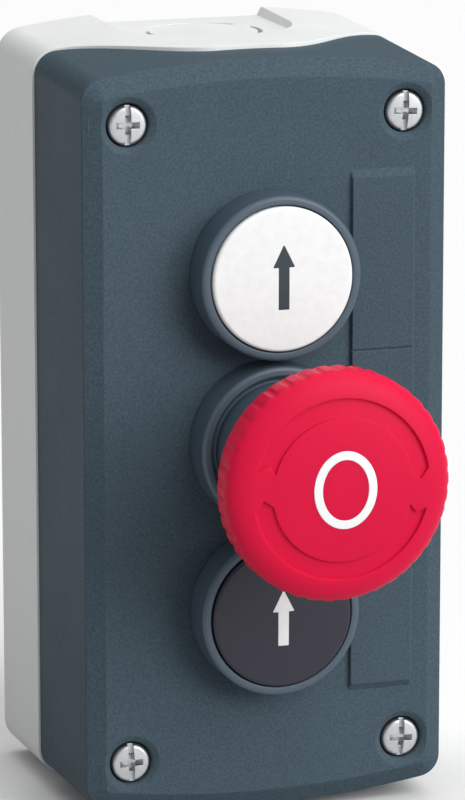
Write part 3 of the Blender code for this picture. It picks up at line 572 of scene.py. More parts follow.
@dataclass(frozen=True)
class MouldedPlastic(Finish):
    """Injection-moulded thermoplastic, such as ABS or glass-filled polycarbonate.

    Its surface copies the mould's: the grain breaks the reflection up, and slow waves from the
    melt's flow shift the tone. Edges are moved towards a gain of the colour: partly rubbed wear,
    partly a painted highlight where the gain is above 1, and darker edges where it is below 1.
    """

    colour: str
    roughness: float
    texture: MouldTexture
    specular: float = 0.5
    edge_radius: float = 0.22 * MM
    flow_size: float = 14 * MM
    tone_shift: float = 0.05
    speckle: float = 0.03
    # Gain that edges are painted towards: partly rubbed wear, partly painted highlight above 1.
    edge_wear_and_painted_light_gain: float = 1.12
    translucency: float = 0.0

    def surface(self, graph: Graph) -> dict[str, object]:
        """Adds the plastic's nodes and lists the shader's inputs."""
        place = graph.add("ShaderNodeTexCoord")["Object"]
        # Real spark erosion is 0.05 to 0.15 mm coarse; here it is as coarse as the render shows.
        size, depth = self.texture.value
        grain = graph.noise(place, size, 2.0, Roughness=0.55)
        flow = graph.noise(place, self.flow_size, 2.0, Distortion=0.6)
        rounded = graph.rounded(self.edge_radius)
        true_normal = graph.add("ShaderNodeNewGeometry")["Normal"]
        facing = graph.vector("DOT_PRODUCT", {0: rounded, 1: true_normal})["Value"]
        # Painted edge tone: edges move towards the edge gain, partly rubbed wear and partly painted
        # highlight (gain above 1) or darker edges (gain below 1).
        rubbed_and_painted_edges = graph.remap(facing, (1.0, 0.9), (0.0, 0.8))
        shift, speckle = self.tone_shift, self.speckle
        tone = graph.mix(flow, linear(self.colour, 1 - shift), linear(self.colour, 1 + shift))
        colour = graph.mix(rubbed_and_painted_edges, tone, linear(self.colour, self.edge_wear_and_painted_light_gain))
        pitted = graph.remap(grain, NOISE_RANGE, (1 - speckle, 1 + speckle))
        gloss = (self.roughness - 0.03, self.roughness + 0.04)
        made = {
            "Base Color": graph.vector("SCALE", {0: colour, "Scale": pitted})[0],
            "Roughness": graph.remap(flow, NOISE_RANGE, gloss),
            "Normal": graph.bump(grain, depth, Normal=rounded),
            "IOR": 1.5,
            "Specular IOR Level": self.specular,
        }
        if self.translucency > 0:
            # Pigmented nylon lets red light travel a few millimetres, which fills its shadows.
            made["Subsurface Weight"] = self.translucency
            made["Subsurface Radius"] = (1.0, 0.25, 0.2)
            made["Subsurface Scale"] = 4 * MM
        return made


@dataclass(frozen=True)
class WorkedMetal(Finish):
    """Bare or plated metal: zinc-plated steel, spring steel or rolled brass.

    Plating leaves a fine cloudy structure, and drawing or rolling leaves faint lines, so the
    reflection is soft and changes a little from place to place.
    """

    colour: str
    second_colour: str
    roughness: float
    cloud_size: float = 0.9 * MM
    grain_size: float = 0.3 * MM
    grain_depth: float = 0.004 * MM
    edge_radius: float = 0.1 * MM

    def surface(self, graph: Graph) -> dict[str, object]:
        """Adds the metal's nodes and lists the shader's inputs."""
        place = graph.add("ShaderNodeTexCoord")["Object"]
        cloud = graph.noise(place, self.cloud_size, 4.0)
        # Plating crystals are a few hundredths of a millimetre; drawn as coarse as they show.
        grain = graph.noise(place, self.grain_size, 1.0)
        gloss = (self.roughness - 0.06, self.roughness + 0.08)
        return {
            "Base Color": graph.mix(cloud, linear(self.colour), linear(self.second_colour)),
            "Roughness": graph.remap(cloud, NOISE_RANGE, gloss),
            "Normal": graph.bump(grain, self.grain_depth, Normal=graph.rounded(self.edge_radius)),
            "Metallic": 1.0,
        }


@dataclass(frozen=True)
class MouldedRubber(Finish):
    """Black nitrile rubber, pressed in a blasted mould: dull, with a dusty bloom."""

    name: str = "nitrile_rubber_moulded"
    slot: str = "black_rubber"
    colour: str = "1E1E20"
    bloom: str = "2B2B2C"
    roughness: float = 0.82
    dust_size: float = 1.2 * MM
    dust_depth: float = 0.02 * MM

    def surface(self, graph: Graph) -> dict[str, object]:
        """Adds the rubber's nodes and lists the shader's inputs."""
        dust = graph.noise(graph.add("ShaderNodeTexCoord")["Object"], self.dust_size, 5.0)
        return {
            "Base Color": graph.mix(dust, linear(self.colour), linear(self.bloom)),
            "Normal": graph.bump(dust, self.dust_depth),
            "Roughness": self.roughness,
        }


@dataclass
class FinishSet:
    """Every finish of the station, each built once."""

    pale_box: Finish = MouldedPlastic(
        "polycarbonate_light_grey_moulded", "light_grey_plastic", "F4F6F6", 0.5,
        MouldTexture.FINE_MATT, specular=0.3,
    )
    # The slate's edge gain of 1.5 paints a highlight along its edges, the chamfer band's among
    # them, besides a little wear.
    slate_cover: Finish = MouldedPlastic(
        "polycarbonate_slate_moulded", "blue_grey_plastic", "4B5B65", 0.45,
        MouldTexture.SPARK_ERODED, specular=0.03, speckle=0.18, edge_wear_and_painted_light_gain=1.5,
    )
    bezel_grey: Finish = MouldedPlastic(
        "polyamide_dark_grey_moulded", "dark_grey_plastic", "4C5C69", 0.42, MouldTexture.FINE_MATT
    )
    cap_black: Finish = MouldedPlastic(
        "polyamide_black_moulded", "black_plastic", "2C2C39", 0.36,
        MouldTexture.FINE_MATT, specular=0.4,
    )
    cap_white: Finish = MouldedPlastic(
        "abs_white_moulded", "white_plastic", "F6F9F9", 0.36,
        MouldTexture.POLISHED, tone_shift=0.01, edge_wear_and_painted_light_gain=1.0,
    )
    knob_red: Finish = MouldedPlastic(
        "polyamide_red_moulded", "red_plastic", "E01A46", 0.4,
        MouldTexture.FINE_MATT, specular=0.1, edge_wear_and_painted_light_gain=0.95, translucency=0.4,
    )
    mark_dark: Finish = MouldedPlastic(
        "inlaid_mark_slate", "dark_grey_plastic", "2A3840", 0.45, MouldTexture.FINE_MATT
    )
    mark_white: Finish = MouldedPlastic(
        "inlaid_mark_white", "white_plastic", "FAFAFB", 0.42,
        MouldTexture.FINE_MATT, tone_shift=0.01, edge_wear_and_painted_light_gain=1.0,
    )
    block_grey: Finish = MouldedPlastic(
        "polyamide_mid_grey_moulded", "contact_housing_plastic", "7F868A", 0.5,
        MouldTexture.SPARK_ERODED,
    )
    screw_zinc: Finish = WorkedMetal(
        "steel_zinc_plated", "zinc_plated_steel", "CDCFD1", "B2B5B7", 0.4
    )
    wire_steel: Finish = WorkedMetal(
        "spring_steel_drawn", "spring_steel", "A4A7AA", "8C8F92", 0.28
    )
    strip_brass: Finish = WorkedMetal("brass_rolled", "brass", "CDA752", "B8923F", 0.3)
    rubber: Finish = MouldedRubber()
    built: dict[str, Material] = field(default_factory=dict)

    def of(self, finish: Finish) -> Material:
        """Gives the material of a finish, which is built when it is first asked for."""
        if finish.name not in self.built:
            self.built[finish.name] = new_material(finish.name, finish.surface)
        return self.built[finish.name]

    def settle(
        self, name: str, mesh: Mesh, finish: Finish, body: str, replaced: Sequence[str] = ()
    ) -> None:
        """Turns a finished mesh into the world and puts it on its body.

        Args:
            name: Name of the piece.
            mesh: Its mesh, in the station's frame.
            finish: Its finish.
            body: The CAD body that it rides on.
            replaced: The CAD nodes that it stands for.
        """
        mesh.transform(STATION_TO_WORLD)
        mesh = softened(mesh)
        mesh.name = name
        mesh.materials.clear()
        mesh.materials.append(self.of(finish))
        piece = bpy.data.objects.new(name, mesh)
        bpy.context.scene.collection.objects.link(piece)
        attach(piece, body)
        if replaced:
            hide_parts(*replaced)
        log.info("%s: %d faces on %s", name, len(mesh.polygons), body)


# Enclosure


@dataclass(frozen=True)
class CaseForm:
    """Outer form that the two halves share: straight sides, bowed ends and an arched parting."""

    width: float = 68 * MM
    height: float = 136 * MM
    depth: float = 53 * MM
    corner_radius: float = 9 * MM
    end_bow: float = 3 * MM
    end_taper: float = 1.3 * MM
    parting_depth: float = 23.5 * MM
    arch_rise: float = 19 * MM
    arch_flat: float = 5.5 * MM
    arch_reach: float = 32.8 * MM
    corner_steps: int = 18
    end_steps: int = 28
    arch_steps: int = 40

    def outline(self, inset: float, depth: float) -> list[Point2]:
        """Lists the outline at a depth from the wall, moved in by an inset."""
        half = self.width / 2
        end = self.height / 2 + self.end_taper * (1 - depth / self.depth)
        end_radius = (half**2 + self.end_bow**2) / (2 * self.end_bow)
        end_centre = end - end_radius
        corner_x = half - self.corner_radius
        rise = math.sqrt((end_radius - self.corner_radius) ** 2 - corner_x**2)
        tilt = math.degrees(math.atan2(rise, corner_x))
        corner = (corner_x, end_centre + rise)
        quarter = arc(corner, self.corner_radius - inset, 0, tilt, self.corner_steps)
        bow = arc((0, end_centre), end_radius - inset, tilt, 180 - tilt, self.end_steps)
        top = quarter + bow[1:-1] + [(-x, y) for x, y in reversed(quarter)]
        return top + [(-x, -y) for x, y in top]

    def solid(self, name: str, inset: float, low: float, high: float) -> Mesh:
        """Makes a solid that follows the outline, moved in by an inset, between two depths."""
        return upright(name, [(self.outline(inset, depth), depth) for depth in (low, high)])

    def arch(self, x: float) -> float:
        """Gives how far the parting line rises at a distance from the middle."""
        share = (abs(x) - self.arch_flat) / (self.arch_reach - self.arch_flat)
        share = min(max(share, 0.0), 1.0)
        return self.arch_rise * (1 + math.cos(math.pi * share)) / 2

    def parted(self, name: str, offset: float, far: float) -> Mesh:
        """Makes the space on one side of the parting surface.

        Args:
            name: Name of the mesh.
            offset: How far the surface is moved to the front.
            far: Depth that the space reaches to.

        Returns:
            A closed mesh.
        """
        ramp = [
            self.arch_flat + (self.arch_reach - self.arch_flat) * i / self.arch_steps
            for i in range(self.arch_steps + 1)
        ]
        places = [-x for x in reversed(ramp)] + ramp
        edge = [(x, self.parting_depth + self.arch(x) + offset) for x in places]
        level = self.parting_depth + offset
        ends = [(self.width, level), (self.width, far), (-self.width, far)]
        outline = [(-self.width, level), *edge, *ends]
        return lying(name, [(outline, -self.height), (outline, self.height)])


@dataclass(frozen=True)
class CornerPattern:
    """Sets a solid at the corners of a rectangle, each turned a little by chance."""

    across: float
    along: float
    loose_turn: float
    seed: int = 7

    def shape(self, graph: Graph, given: Mapping[str, Socket]) -> Socket:
        """Sets the tree's mesh at the points of a grid.

        Args:
            graph: The tree's graph.
            given: The tree's inputs.

        Returns:
            The instances.
        """
        sizes = {"Size X": given["Across"], "Size Y": given["Along"]}
        counts = {"Vertices X": 2, "Vertices Y": 2}
        grid = graph.add("GeometryNodeMeshGrid", inputs={**sizes, **counts})
        least = graph.calc("MULTIPLY", given["Loose turn"], -1.0)
        draw = {2: least, 3: given["Loose turn"], 8: given["Seed"]}
        chance = graph.add("FunctionNodeRandomValue", {"data_type": "FLOAT"}, draw)[1]
        angle = graph.add("ShaderNodeCombineXYZ", inputs={"Z": chance})["Vector"]
        setting = {"Points": grid["Mesh"], "Instance": given["Mesh"], "Rotation": angle}
        return graph.add("GeometryNodeInstanceOnPoints", inputs=setting)["Instances"]

    def repeat(self, mesh: Mesh, material: Material) -> Mesh:
        """Sets the solid, which is removed, at the four corners as one mesh."""
        sizes = {"Across": self.across, "Along": self.along, "Loose turn": self.loose_turn}
        return grown(
            mesh, "solid_at_corners", self.shape, {**sizes, "Seed": self.seed}, material
        )


@dataclass
class Enclosure:
    """The two-part moulded box, its cable entries and its four cover screws.

    The skin's corners are tighter than those of the hollow and the gasket groove behind them.
    """

    finishes: FinishSet
    form: CaseForm = CaseForm()
    skin_form: CaseForm = CaseForm(corner_radius=4.9 * MM)
    wall: float = 3 * MM
    floor: float = 3 * MM
    front_wall: float = 2.5 * MM
    rear_edge: float = 0.6 * MM
    cover_step: float = 0.35 * MM
    cover_draft: float = 0.5 * MM
    chamfer_in: float = 3.2 * MM
    chamfer_deep: float = 1.9 * MM
    chamfer_soft: float = 0.4 * MM
    groove_inset: float = 0.8 * MM
    groove_width: float = 1.4 * MM
    groove_deep: float = 1.3 * MM
    screws_across: float = 50.5 * MM
    screws_along: float = 113.6 * MM
    screws_loose: float = math.radians(4)
    screw_sunk: float = 0.3 * MM
    screw_radius: float = 1.9 * MM
    screw_length: float = 37 * MM
    thread_root: float = 0.84
    thread_turns: int = 12
    thread_start: float = 4 * MM
    thread_plain: float = 6 * MM
    head_radius: float = 3.5 * MM
    head_high: float = 2.2 * MM
    head_face: float = 2.75 * MM
    head_crown: float = 0.12 * MM
    head_shoulder: float = 0.9 * MM
    head_soft: float = 0.1 * MM
    cross_front: Point2 = (2.1 * MM, 0.55 * MM)
    cross_bottom: Point2 = (1.2 * MM, 0.35 * MM)
    cross_lead: float = 0.2 * MM
    cross_deep: float = 1.7 * MM
    slot_half: float = 0.5 * MM
    slot_deep: float = 0.9 * MM
    post_radius: float = 7 * MM
    sink_top: float = 5.05 * MM
    sink_floor: float = 3.75 * MM
    sink_neck: float = 3.85 * MM
    sink_dish: float = 0.7 * MM
    sink_neck_round: float = 0.9 * MM
    sink_rim_round: float = 0.5 * MM
    fixing_across: float = 25 * MM
    fixing_along: float = 116 * MM
    fixing_radius: float = 2.15 * MM
    fixing_pad_radius: float = 4.6 * MM
    fixing_pad_rise: float = 1.2 * MM
    recess_deep: float = 1 * MM
    recess_half: float = 15.5 * MM
    recess_centre: float = 15.6 * MM
    recess_slope: float = 0.5
    entry_radius: float = 10.2 * MM
    entry_centre: float = 16.2 * MM
    entry_slot: float = 0.9 * MM
    entry_slot_angle: float = 100
    entry_slot_starts: tuple[float, ...] = (100, 220, 340)
    entry_steps: int = 40
    recess_steps: int = 72
    pad_x: float = 20.9 * MM
    pad_width: float = 12 * MM
    pad_height: float = 94 * MM
    pad_raise: float = 0.8 * MM
    pad_corner: float = 0.5 * MM
    pad_side_slope: float = 0.7 * MM
    pad_end_slope: float = 2.6 * MM
    pad_line_half: float = 0.2 * MM
    pad_line_deep: float = 0.3 * MM
    head_pitch: float = 30 * MM
    hole_radius: float = 11.3 * MM
    notch_half: float = 1.65 * MM
    notch_low: float = 10.35 * MM
    notch_high: float = 12.35 * MM
    notch_deep: float = 4 * MM

    def build(self) -> None:
        """Builds the base, the cover and the screws."""
        names = [f"cover_screw_{number}" for number in range(1, 5)]
        settle, finishes = self.finishes.settle, self.finishes
        settle("base_shell", self.base(), finishes.pale_box, "station", ["base_box"])
        settle("cover_shell", self.cover(), finishes.slate_cover, "station", ["cover"])
        settle("cover_screws", self.screws(), finishes.screw_zinc, "station", names)

    def rim_band(self, name: str, inset: float, width: float) -> Mesh:
        """Makes a band that follows the inside of the outline through the whole depth.

        Args:
            name: Name of the mesh.
            inset: Distance of its outer side from the outline.
            width: Its width.

        Returns:
            A closed mesh.
        """
        far = self.form.depth + PAST
        band = self.form.solid(name, inset, -PAST, far)
        return carve(band, self.form.solid("hollow", inset + width, -2 * PAST, far + PAST))

    def shell(self, name: str, steps: Sequence[Point2]) -> Mesh:
        """Makes a solid from the skin's outline, from pairs of inset and depth."""
        outline = self.skin_form.outline
        return upright(name, [(outline(inset, depth), depth) for inset, depth in steps])

    def base(self) -> Mesh:
        """Makes the wall-side half with its posts, gasket groove and cable entries."""
        form = self.form
        crest = form.parting_depth + form.arch_rise
        turns = [math.pi / 2 * i / 5 for i in range(6)]
        edge = self.rear_edge
        steps = [(edge * (1 - math.sin(a)), edge * (1 - math.cos(a))) for a in turns]
        base = self.shell("base_shell", [*steps, (0, crest + PAST)])
        base = carve(base, form.solid("inside", self.wall, self.floor, crest + 2 * PAST))
        base = carve(base, form.parted("above", 0, form.depth + PAST))
        screw_places = corners(self.screws_across, self.screws_along)
        posts = drum(self.post_radius, self.floor / 2, form.parting_depth)
        base = carve(base, columns("posts", posts, screw_places), Operation.JOIN)
        fixing_places = corners(self.fixing_across, self.fixing_along)
        pad_front = self.floor + self.fixing_pad_rise
        pads = drum(self.fixing_pad_radius, self.floor / 2, pad_front)
        base = carve(base, columns("pads", pads, fixing_places), Operation.JOIN)
        fixings = drum(self.fixing_radius, -PAST, pad_front + PAST)
        base = carve(base, columns("fixings", fixings, fixing_places))
        thread = self.screw_radius + CLEARANCE / 2
        head_back = form.depth - self.screw_sunk - self.head_high
        screw_end = head_back - self.screw_length - CLEARANCE
        bores = drum(thread, screw_end, form.parting_depth + 2 * PAST)
        base = carve(base, columns("bores", bores, screw_places))
        groove = self.rim_band("groove", self.groove_inset, self.groove_width)
        groove = carve(groove, form.parted("below_groove", -self.groove_deep, -PAST))
        base = carve(base, groove)
        for sign in (1, -1):
            base = self.with_entry(base, sign)
        return base

    def with_entry(self, base: Mesh, sign: int) -> Mesh:
        """Cuts the U-shaped recess and the slots of the knock-out disc into one end.

        Args:
            base: The base so far.
            sign: 1 at the top end and -1 at the bottom end.

        Returns:
            The base with that entry.
        """
        level = self.form.height / 2 - self.recess_deep
        sections = []
        for height in (level, self.form.height / 2 + self.form.end_taper + PAST):
            half = self.recess_half + (height - level) * self.recess_slope
            rim = arc((0, self.recess_centre), half, 0, 180, self.recess_steps)
            sections.append(([(half, -PAST), *rim, (-half, -PAST)], sign * height))
        base = carve(base, lying("recess", sections))
        slots = []
        for start in self.entry_slot_starts:
            end = start + self.entry_slot_angle
            centre, steps = (0, self.entry_centre), self.entry_steps
            outer = arc(centre, self.entry_radius + self.entry_slot / 2, start, end, steps)
            inner = arc(centre, self.entry_radius - self.entry_slot / 2, end, start, steps)
            heights = (sign * (level - self.wall - PAST), sign * (level + PAST))
            slots.append(lying("slot", [(outer + inner, height) for height in heights]))
        return carve(base, together("slots", slots))

    def cover(self) -> Mesh:
        """Makes the front half: drafted sides, broad chamfer, sinks, pad and head holes."""
        form = self.form
        side = self.cover_step + self.cover_draft
        path = [
            (self.cover_step, form.parting_depth, 0.0),
            (side, form.depth - self.chamfer_deep, self.chamfer_soft),
            (side + self.chamfer_in, form.depth, self.chamfer_soft),
            (side + 2 * self.chamfer_in, form.depth, 0.0),
        ]
        cover = self.shell("cover_shell", filleted(path, steps=6)[:-1])
        inside = form.solid("inside", side + self.wall, -PAST, form.depth - self.front_wall)
        cover = carve(cover, inside)
        cover = carve(cover, form.parted("below", CLEARANCE, -PAST))
        screw_places = corners(self.screws_across, self.screws_along)
        post_front = form.depth - self.front_wall / 2
        posts = drum(self.post_radius, form.parting_depth + CLEARANCE, post_front)
        cover = carve(cover, columns("posts", posts, screw_places), Operation.JOIN)
        rim = self.rim_band("rim", -PAST, self.wall + CLEARANCE + PAST)
        rim = carve(rim, form.parted("below_rim", CLEARANCE, -PAST), Operation.KEEP)
        cover = carve(cover, rim)
        cover = carve(cover, self.pad(), Operation.JOIN)
        cover = carve(cover, together("lines", [self.pad_line(sign) for sign in (1, -1)]))
        rows = [(0.0, self.head_pitch * i) for i in (1, 0, -1)]
        holes = drum(self.hole_radius, form.depth - self.front_wall - PAST, form.depth + PAST)
        cover = carve(cover, columns("holes", holes, rows, 96))
        notches = [self.key_notch(row[1]) for row in rows]
        cover = carve(cover, together("notches", notches))
        return self.with_sinks(cover, screw_places)

    def pad_line(self, sign: int) -> Mesh:
        """Makes the space of a fine line across the pad, above or below its middle."""
        y = sign * self.head_pitch / 2
        top = self.form.depth + self.pad_raise
        half = self.pad_line_half
        left, right = self.pad_x - self.pad_width, self.pad_x + self.pad_width
        low = (left, y - half, top - self.pad_line_deep)
        return block("line", low, (right, y + half, top + PAST))

    def key_notch(self, row: float) -> Mesh:
        """Makes the notch beside a head hole that keeps the head from turning."""
        low = self.form.depth - self.front_wall - 2 * CLEARANCE
        near = (-self.notch_half, row + self.notch_low, low)
        return block("notch", near, (self.notch_half, row + self.notch_high, low + self.notch_deep))

    def pad(self) -> Mesh:
        """Makes the raised label pad, steep at its sides and sloped at its ends."""
        foot = rectangle(self.pad_width, self.pad_height, self.pad_corner)
        face_width = self.pad_width - self.pad_side_slope
        face = rectangle(face_width, self.pad_height - self.pad_end_slope, self.pad_corner)
        front = self.form.depth
        heights = (front - self.front_wall / 2, front, front + self.pad_raise)
        sections = [
            ([(x + self.pad_x, y) for x, y in outline], height)
            for outline, height in zip((foot, foot, face), heights)
        ]
        return upright("pad", sections)

    def with_sinks(self, cover: Mesh, places: Sequence[Point2]) -> Mesh:
        """Cuts the dished sinks and the bores of the cover screws.

        Args:
            cover: The cover so far.
            places: Where the screws stand.

        Returns:
            The cover with its sinks and bores.
        """
        front = self.form.depth
        bottom = front - self.screw_sunk - self.head_high - CLEARANCE
        dish = filleted(
            [
                (self.sink_floor, bottom, 0.0),
                (self.sink_neck, front - self.sink_dish, self.sink_neck_round),
                (self.sink_top, front, self.sink_rim_round),
                (self.sink_top + PAST, front, 0.0),
            ]
        )
        mouth = [(self.sink_top + PAST / 4, front + PAST), (0, front + PAST)]
        cover = carve(cover, columns("sinks", [(0, bottom), *dish[:-1], *mouth], places, 64))
        bore = drum(self.screw_radius + CLEARANCE, self.form.parting_depth - PAST, front)
        return carve(cover, columns("bores", bore, places))

    def screws(self) -> Mesh:
        """Makes the four pan-head screws with their combined cross and slot."""
        top = self.form.depth - self.screw_sunk
        under = top - self.head_high
        tip = under - self.screw_length
        radius, root = self.head_radius, self.screw_radius * self.thread_root
        face = top - self.head_crown
        crown = [
            (self.head_face * i / 6, top - self.head_crown * (i / 6) ** 2) for i in range(6)
        ]
        width = radius - self.head_face
        turned_edge = [
            (self.head_face + width * math.sin(a), face - self.head_shoulder * (1 - math.cos(a)))
            for a in (math.pi / 2 * i / 10 for i in range(11))
        ]
        soft = self.head_soft
        seat = [(radius, under + soft), (radius - soft, under), (self.screw_radius, under)]
        profile = [*crown, *turned_edge, *seat]
        points = 2 * self.thread_turns
        for i in range(points):
            run = (self.screw_length - self.thread_plain) * i / points
            height = under - self.thread_start - run
            profile.append((self.screw_radius if i % 2 == 0 else root, height))
        profile += [(root, tip + 1 * MM), (self.screw_radius / 2, tip), (0, tip)]
        screw = turned("cover_screws", profile, 48)
        for tool in self.drives(top):
            screw = carve(screw, tool)
        pattern = CornerPattern(self.screws_across, self.screws_along, self.screws_loose)
        return pattern.repeat(screw, self.finishes.of(self.finishes.screw_zinc))

    def drives(self, top: float) -> list[Mesh]:
        """Makes the spaces of the cross and the slot in a screw head whose top is given."""
        tools = []
        sizes = (self.cross_front, self.cross_front, self.cross_bottom)
        depths = (top + PAST, top - self.cross_lead, top - self.cross_deep)
        for long_side in (0, 1):
            sections = []
            for (reach, half), depth in zip(sizes, depths):
                x, y = (reach, half) if long_side else (half, reach)
                sections.append(([(x, y), (-x, y), (-x, -y), (x, -y)], depth))
            tools.append(upright("drive", sections))
        half, reach = self.slot_half, self.head_radius + PAST
        low = (-half, -reach, top - self.slot_deep)
        tools.append(block("slot", low, (half, reach, top + PAST)))
        return tools


# Heads


@dataclass(frozen=True)
class HeadForm:
    """Sizes that the three 22 mm heads share, with heights from the wall."""

    panel_front: float = 53 * MM
    tube_radius: float = 11 * MM
    tube_bore: float = 9.7 * MM
    tube_end: float = 42 * MM
    ledge_bore: float = 5.6 * MM
    ledge_thick: float = 1.5 * MM
    bezel_radius: float = 14.5 * MM
    bezel_rise: float = 7.4 * MM
    bezel_lip: float = 1.5 * MM
    bezel_round: float = 0.9 * MM
    seal_outer: float = 13.3 * MM
    seal_thick: float = 0.7 * MM
    stem_end: float = 48.25 * MM
    key_half: float = 1.4 * MM
    key_low: float = 10.35 * MM
    key_high: float = 12.1 * MM
    key_back: float = 2.75 * MM

    def outside(self, inner: float) -> list[Point3]:
        """Lists the corners of a head's outer side, from the bezel's front to the tube's end.

        Args:
            inner: Radius where the front rim begins.

        Returns:
            Radius, height and rounding of each corner.
        """
        front = self.panel_front + self.bezel_rise
        seat = self.panel_front + CLEARANCE
        step = self.seal_outer + CLEARANCE
        roof = seat + self.seal_thick + CLEARANCE
        ledge = self.tube_end + self.ledge_thick
        return [
            (inner, front, 0.25 * MM),
            (self.bezel_radius, front, self.bezel_round),
            (self.bezel_radius, seat, 0.2 * MM),
            (step, seat, 0.0),
            (step, roof, 0.0),
            (self.tube_radius, roof, 0.0),
            (self.tube_radius, self.tube_end, 0.3 * MM),
            (self.ledge_bore, self.tube_end, 0.0),
            (self.ledge_bore, ledge, 0.0),
            (self.tube_bore, ledge, 0.0),
        ]

    def with_key(self, body: Mesh, row: float) -> Mesh:
        """Joins the key that fits the cover's notch to a head's tube.

        Args:
            body: The head's body.
            row: Height of the head's axis on the station.

        Returns:
            The body with its key.
        """
        low = (-self.key_half, row + self.key_low, self.panel_front - self.key_back)
        high = (self.key_half, row + self.key_high, self.panel_front - CLEARANCE)
        return carve(body, block("key", low, high), Operation.JOIN)


@dataclass(frozen=True)
class UpArrow:
    """A plain arrow that points up, with sizes from the middle of the cap."""

    tip: float
    shoulder: float
    foot: float
    half_head: float = 2.0 * MM
    half_shaft: float = 0.97 * MM
    sharp: float = 0.12 * MM

    def outline(self) -> list[Point2]:
        """Lists the corners of the arrow, barely rounded."""
        left = [
            (-self.half_head, self.shoulder),
            (-self.half_shaft, self.shoulder),
            (-self.half_shaft, self.foot),
        ]
        right = [(-x, y) for x, y in reversed(left)]
        path = [(x, y, self.sharp) for x, y in ((0.0, self.tip), *left, *right)]
        return filleted(path, closed=True, steps=3)


def inlay(
    name: str,
    outlines: Sequence[Sequence[Point2]],
    surface: Callable[[float, float], float],
    row: float,
    lift: float = 0.03 * MM,
    sunk: float = 0.25 * MM,
    cell: float = 0.8 * MM,
) -> Mesh:
    """Makes a mark that follows a crowned face and stands a hair above it.

    Args:
        name: Name of the mesh.
        outlines: Closed outlines in x and y round the face's middle.
        surface: Height of the face at a place on it.
        row: Height of the face's middle on the station.
        lift: How far the mark stands above the face.
        sunk: How far it reaches below the face.
        cell: Size of the pieces that the mark is split into.

    Returns:
        A closed mesh.
    """
    form = bmesh.new()
    for outline in outlines:
        form.faces.new([form.verts.new((x, y, 0)) for x, y in outline])
    bmesh.ops.remove_doubles(form, verts=form.verts, dist=MERGE)
    reach = max(abs(value) for outline in outlines for point in outline for value in point)
    cuts = int(reach / cell) + 1
    for axis in (Vector((1, 0, 0)), Vector((0, 1, 0))):
        for i in range(-cuts, cuts + 1):
            parts = list(form.verts) + list(form.edges) + list(form.faces)
            place = axis * (i + 0.5) * cell
            bmesh.ops.bisect_plane(
                form, geom=parts, dist=MERGE / 10, plane_co=place, plane_no=axis
            )
    top = list(form.faces)
    new_parts = bmesh.ops.extrude_face_region(form, geom=top, use_keep_orig=True)["geom"]
    lower = {item for item in new_parts if isinstance(item, bmesh.types.BMVert)}
    for vertex in form.verts:
        drop = -sunk if vertex in lower else lift
        vertex.co = (vertex.co.x, vertex.co.y + row, surface(vertex.co.x, vertex.co.y) + drop)
    bmesh.ops.remove_doubles(form, verts=form.verts, dist=MERGE)
    return mesh_from(name, form)


@dataclass
class ButtonHead:
    """A flush pushbutton head: dark bezel, coloured cap and the arrow inlaid in the cap."""

    finishes: FinishSet
    colour: str
    row: float
    cap_finish: Finish
    mark_finish: Finish
    arrow: UpArrow
    form: HeadForm = HeadForm()
    cap_radius: float = 12.7 * MM
    cap_rise: float = 8.3 * MM
    cap_rim: float = 1.7 * MM
    cap_crown: float = 0.3 * MM
    cap_edge: float = 0.6 * MM
    cap_thick: float = 2.6 * MM
    crown_steps: int = 14
    travel: float = 4.2 * MM
    skirt_wall: float = 1.2 * MM
    stem_radius: float = 5.2 * MM

    def build(self) -> None:
        """Builds the bezel, the cap and its arrow."""
        name, settle = self.colour, self.finishes.settle
        cap_body = f"{name}_cap"
        grey = self.finishes.bezel_grey
        settle(f"{name}_bezel_ring", self.bezel(), grey, "station", [f"{name}_bezel"])
        settle(f"{name}_cap_moulding", self.cap(), self.cap_finish, cap_body, [cap_body])
        arrow = inlay(f"{name}_arrow", [self.arrow.outline()], self.face, self.row)
        settle(f"{name}_cap_arrow", arrow, self.mark_finish, cap_body)

    def face(self, x: float, y: float) -> float:
        """Gives the height of the cap's crowned face at a place on it."""
        share = math.hypot(x, y) / (self.cap_radius - self.cap_edge)
        return self.form.panel_front + self.cap_rise - self.cap_crown * share**2

    def bezel(self) -> Mesh:
        """Makes the head's body with its seat for the cap."""
        bore = self.cap_radius + CLEARANCE
        rim_back = self.form.panel_front + self.cap_rise - self.cap_crown - self.cap_rim
        shelf = rim_back - self.travel - CLEARANCE
        path = self.form.outside(bore) + [(self.form.tube_bore, shelf, 0.0), (bore, shelf, 0.0)]
        body = turned("bezel", filleted(path, closed=True), closed=True, at=(0.0, self.row))
        return self.form.with_key(body, self.row)

    def cap(self) -> Mesh:
        """Makes the cap with its crown, guide skirt and stem."""
        flat = self.cap_radius - self.cap_edge
        rim_top = self.form.panel_front + self.cap_rise - self.cap_crown
        rim_back = rim_top - self.cap_rim
        under = self.form.panel_front + self.cap_rise - self.cap_thick - self.cap_crown
        skirt = self.form.tube_bore - CLEARANCE
        skirt_end = self.form.tube_end + self.form.ledge_thick + self.travel + CLEARANCE
        steps = self.crown_steps
        crown = [(flat * i / steps, self.face(flat * i / steps, 0)) for i in range(steps)]
        edge = arc((flat, rim_top - self.cap_edge), self.cap_edge, 86, 0, 7)
        profile = [
            *crown,
            *edge,
            (self.cap_radius, rim_back),
            (skirt, rim_back),
            (skirt, skirt_end),
            (skirt - self.skirt_wall, skirt_end),
            (skirt - self.skirt_wall, under),
            (self.stem_radius, under),
            (self.stem_radius, self.form.stem_end),
            (0, self.form.stem_end),
        ]
        return turned("cap", profile, at=(0.0, self.row))


